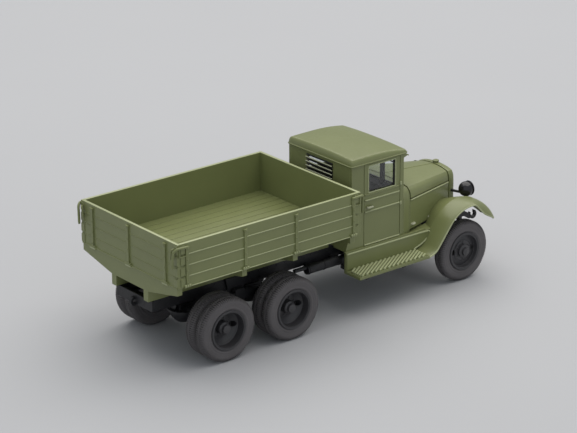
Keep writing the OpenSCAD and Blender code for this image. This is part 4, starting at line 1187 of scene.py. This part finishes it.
def windscreen(kit):
    """Dark frame of the windscreen, with its bar, and the wiper."""
    wide = (-SCREEN_HALF, SCREEN_HALF)
    tall = (SCREEN_SILL, WINDOW_TOP)
    for (y0, y1), (z0, z1) in (
        (wide, (SCREEN_SILL, SCREEN_SILL + 0.3)),
        (wide, (WINDOW_TOP - 0.3, WINDOW_TOP)),
        ((-SCREEN_HALF, 0.4 - SCREEN_HALF), tall),
        ((SCREEN_HALF - 0.4, SCREEN_HALF), tall),
        (wide, (SCREEN_BAR, SCREEN_BAR + 0.25)),
    ):
        kit.block((CAB_FRONT - 0.85, y0, z0), (CAB_FRONT - 0.1, y1, z1))
    kit.tube(smooth_path([(CAB_FRONT + ahead, y, z) for ahead, y, z in WIPER_ARM], 4), 0.16, 8)
    kit.block((CAB_FRONT - 0.25, 3.0, 40.4), (CAB_FRONT + 0.2, 3.3, 45.4))


def cab_trim():
    """Door mouldings and handles, and the frames of the windows and the windscreen."""
    sills, lines, frames, handles = Kit(), Kit(), Kit(), Kit()
    for side in SIDES:
        door_sill(sills, side)
        door_lines(lines, side)
        door_window(frames, side)
        door_handle(handles, side)
    windscreen(frames)
    sills.make("cab_beads", PAINT, "body_green")
    # belts, foot lines, window edges and door hinges in pale paint: a painted highlight
    lines.make("door_belts", EDGE, "body_green")
    frames.make("window_frames", BLACK, "chassis_black", bevel=0.04)
    handles.make("door_handles", SLAT, "body_green")


# cab inside

def seat():
    """Pleats of the seat, from the top of its back to its front edge."""
    low, high = reach("seat")
    top = SILL_Z - SEAT_DEEP
    kit = Kit()
    for y in spread(low.y + 1.2, high.y - 1.2, PLEATS):
        kit.tube(smooth_path([
            (low.x + 1.6, y, SILL_Z + 0.7), (low.x + 2.0, y, SILL_Z - 2), (low.x + 2.7, y, top + 0.6),
            (low.x + 4.4, y, top - 0.1), (high.x - 0.6, y, top - 0.05), (high.x - 0.1, y, top - 0.9),
        ], 4), 0.85, 8)
    kit.make("seat_pleats", GREY, "interior_grey")


def cab_post():
    """Grey post seen through the windows."""
    kit = Kit()
    kit.block((28.0, -8.2, SCREEN_SILL - 1.5), (29.0, -6.5, WINDOW_TOP + 0.8))
    kit.make("cab_post", GREY, "interior_grey", bevel=0.2)


def cab_controls():
    """Dials, gear lever and pedals."""
    dash = reach("dashboard")[0].x
    kit = Kit()
    for y in DIALS:
        kit.ring((dash + 0.2, y, SCREEN_SILL - 2.2), (-1, 0, 0.3), 0.8, 0.16, 28)
    kit.tube(smooth_path(GEAR_LEVER), 0.3, 10)
    kit.lathe(GEAR_KNOB, (0, 0, 1), [(0, 0), (0.5, 0.1), (0.7, 0.6), (0.5, 1.1), (0, 1.25)], 16)
    for y in PEDALS:
        kit.tube([(28.9, y, 25.4), (26.9, y, 24.2)], 0.22, 8)
        kit.block((26.5, y - 0.6, 23.6), (26.9, y + 0.6, 24.9))
    kit.make("cab_controls", BLACK, "chassis_black", bevel=0.04)


# chassis

def rail_rivets(kit):
    """Two rows of rivets along each frame rail."""
    low, high = reach("frame_rails")
    for i in range(RAIL_RIVETS):
        x = low.x + 2 + i * RIVET_PITCH
        for side in SIDES:
            for down in (0.8, 3.2):
                kit.rivet((x, side * high.y, high.z - down), (0, side, 0), 0.24)


def axle_bolts(kit):
    """Bolts round the bowls of the driven axles, and clips over the axles' springs."""
    for axle in AXLES[1:]:
        low, high = reach(axle + "_axle")
        x, z = (low.x + high.x) / 2, (low.z + high.z) / 2
        for i in range(BOWL_BOLTS):
            a = 2 * pi * i / BOWL_BOLTS
            kit.bolt((x + BOWL_R * cos(a), BOWL_R * sin(a), z + 0.55), (0, 0, 1), 0.24)
        for side in SIDES:
            for shift in (-1.3, 1.3):
                clip = [(x + shift, side * y, z + up) for y, up in CLIP]
                kit.tube(smooth_path(clip, 4), 0.22, 8)


def spring_bolts(kit):
    """Bolts through the front springs, each with its nut."""
    base = reach("front_springs")[0].z
    for side in SIDES:
        for x in (WING_X - 2.2, WING_X + 0.2):
            for y in (7.5, 9.9):
                kit.tube([(x, side * y, base - 1.4), (x, side * y, base + 3.4)], 0.24, 8)
                kit.bolt((x, side * y, base + 3.2), (0, 0, 1), 0.3)


def muffler_bands(kit):
    """Bands round the muffler."""
    for x in MUFFLER_BANDS:
        kit.ring((x, *MUFFLER), (1, 0, 0), MUFFLER_R, 0.16, 40)


def chassis_details():
    """Small fittings of the chassis, as one piece."""
    kit = Kit()
    rail_rivets(kit)
    axle_bolts(kit)
    spring_bolts(kit)
    muffler_bands(kit)
    kit.make("chassis_bolts", BLACK, "chassis_black")


# studio and camera

def floor():
    """Pale sweep under the truck."""
    bpy.ops.mesh.primitive_plane_add(size=FLOOR_SIZE)
    sweep = bpy.context.object
    sweep.name = "floor"
    g = Graph("studio_floor")
    g.set(
        Base_Color=g.mix(g.ramp(g.noise(3), 0.3, 0.7, 0, 1), FLOOR_DARK, FLOOR_PALE),
        Roughness=0.8,
    )
    sweep.data.materials.append(g.material)


def surround():
    """Soft light from all round, dimmer from the front left."""
    world = bpy.data.worlds.new("surround")
    bpy.context.scene.world = world
    world.use_nodes = True
    tree = world.node_tree
    sky = tree.nodes["Background"]
    sky.inputs["Color"].default_value = SKY_COLOUR
    toward = tree.nodes.new("ShaderNodeTexCoord").outputs["Generated"]
    side = tree.nodes.new("ShaderNodeVectorMath")
    side.operation = "DOT_PRODUCT"
    tree.links.new(toward, side.inputs[0])
    side.inputs[1].default_value = SKY_DIM_SIDE
    fade = tree.nodes.new("ShaderNodeMapRange")
    tree.links.new(side.outputs["Value"], fade.inputs["Value"])
    for name, value in (
        ("From Min", -SKY_RANGE), ("From Max", SKY_RANGE), ("To Min", SKY_BRIGHT), ("To Max", SKY_DIM),
    ):
        fade.inputs[name].default_value = value
    tree.links.new(fade.outputs["Result"], sky.inputs["Strength"])


def overhead():
    """One wide lamp above, aimed at the truck."""
    lamp = bpy.data.lights.new("overhead", "AREA")
    lamp.shape = "RECTANGLE"
    lamp.size, lamp.size_y = LAMP_SIZE
    lamp.energy = LAMP_ENERGY
    lamp.color = LAMP_COLOUR
    holder = bpy.data.objects.new("overhead", lamp)
    holder.location = LAMP_PLACE
    holder.rotation_euler = (-LAMP_PLACE).to_track_quat("-Z", "Y").to_euler()
    bpy.context.scene.collection.objects.link(holder)


def camera():
    """Camera at the photograph's place: behind the truck and to its right."""
    az, el, roll = (radians(v) for v in (CAMERA_AZ, CAMERA_EL, CAMERA_ROLL))
    ahead = Vector((sin(az) * cos(el), cos(az) * cos(el), -sin(el)))
    right = Vector((cos(az), -sin(az), 0))
    up = right.cross(ahead)
    right, up = (
        cos(roll) * right + sin(roll) * up,
        cos(roll) * up - sin(roll) * right,
    )
    turn = Matrix((right, up, -ahead)).transposed().to_4x4()
    data = bpy.data.cameras.new("camera")
    data.sensor_width = SENSOR_W
    data.lens = SENSOR_W * CAMERA_FOCAL_PX / IMAGE_W
    data.clip_start = 0.01
    data.clip_end = 20
    holder = bpy.data.objects.new("camera", data)
    holder.matrix_world = Matrix.Translation(CAMERA_TARGET - ahead * CAMERA_DISTANCE) @ turn
    bpy.context.scene.collection.objects.link(holder)
    bpy.context.scene.camera = holder


for build in (
    tyres, wheel_fittings, wings, cab_roof, cowl, bonnet, bonnet_catches, radiator, filler_cap, headlamps,
    latches, window_slats, plank_beads, strap_irons, aprons, step_ribs, cab_trim, seat, cab_post,
    cab_controls, chassis_details, floor, surround, overhead, camera,
):
    build()

bpy.context.scene.view_settings.view_transform = "Standard"
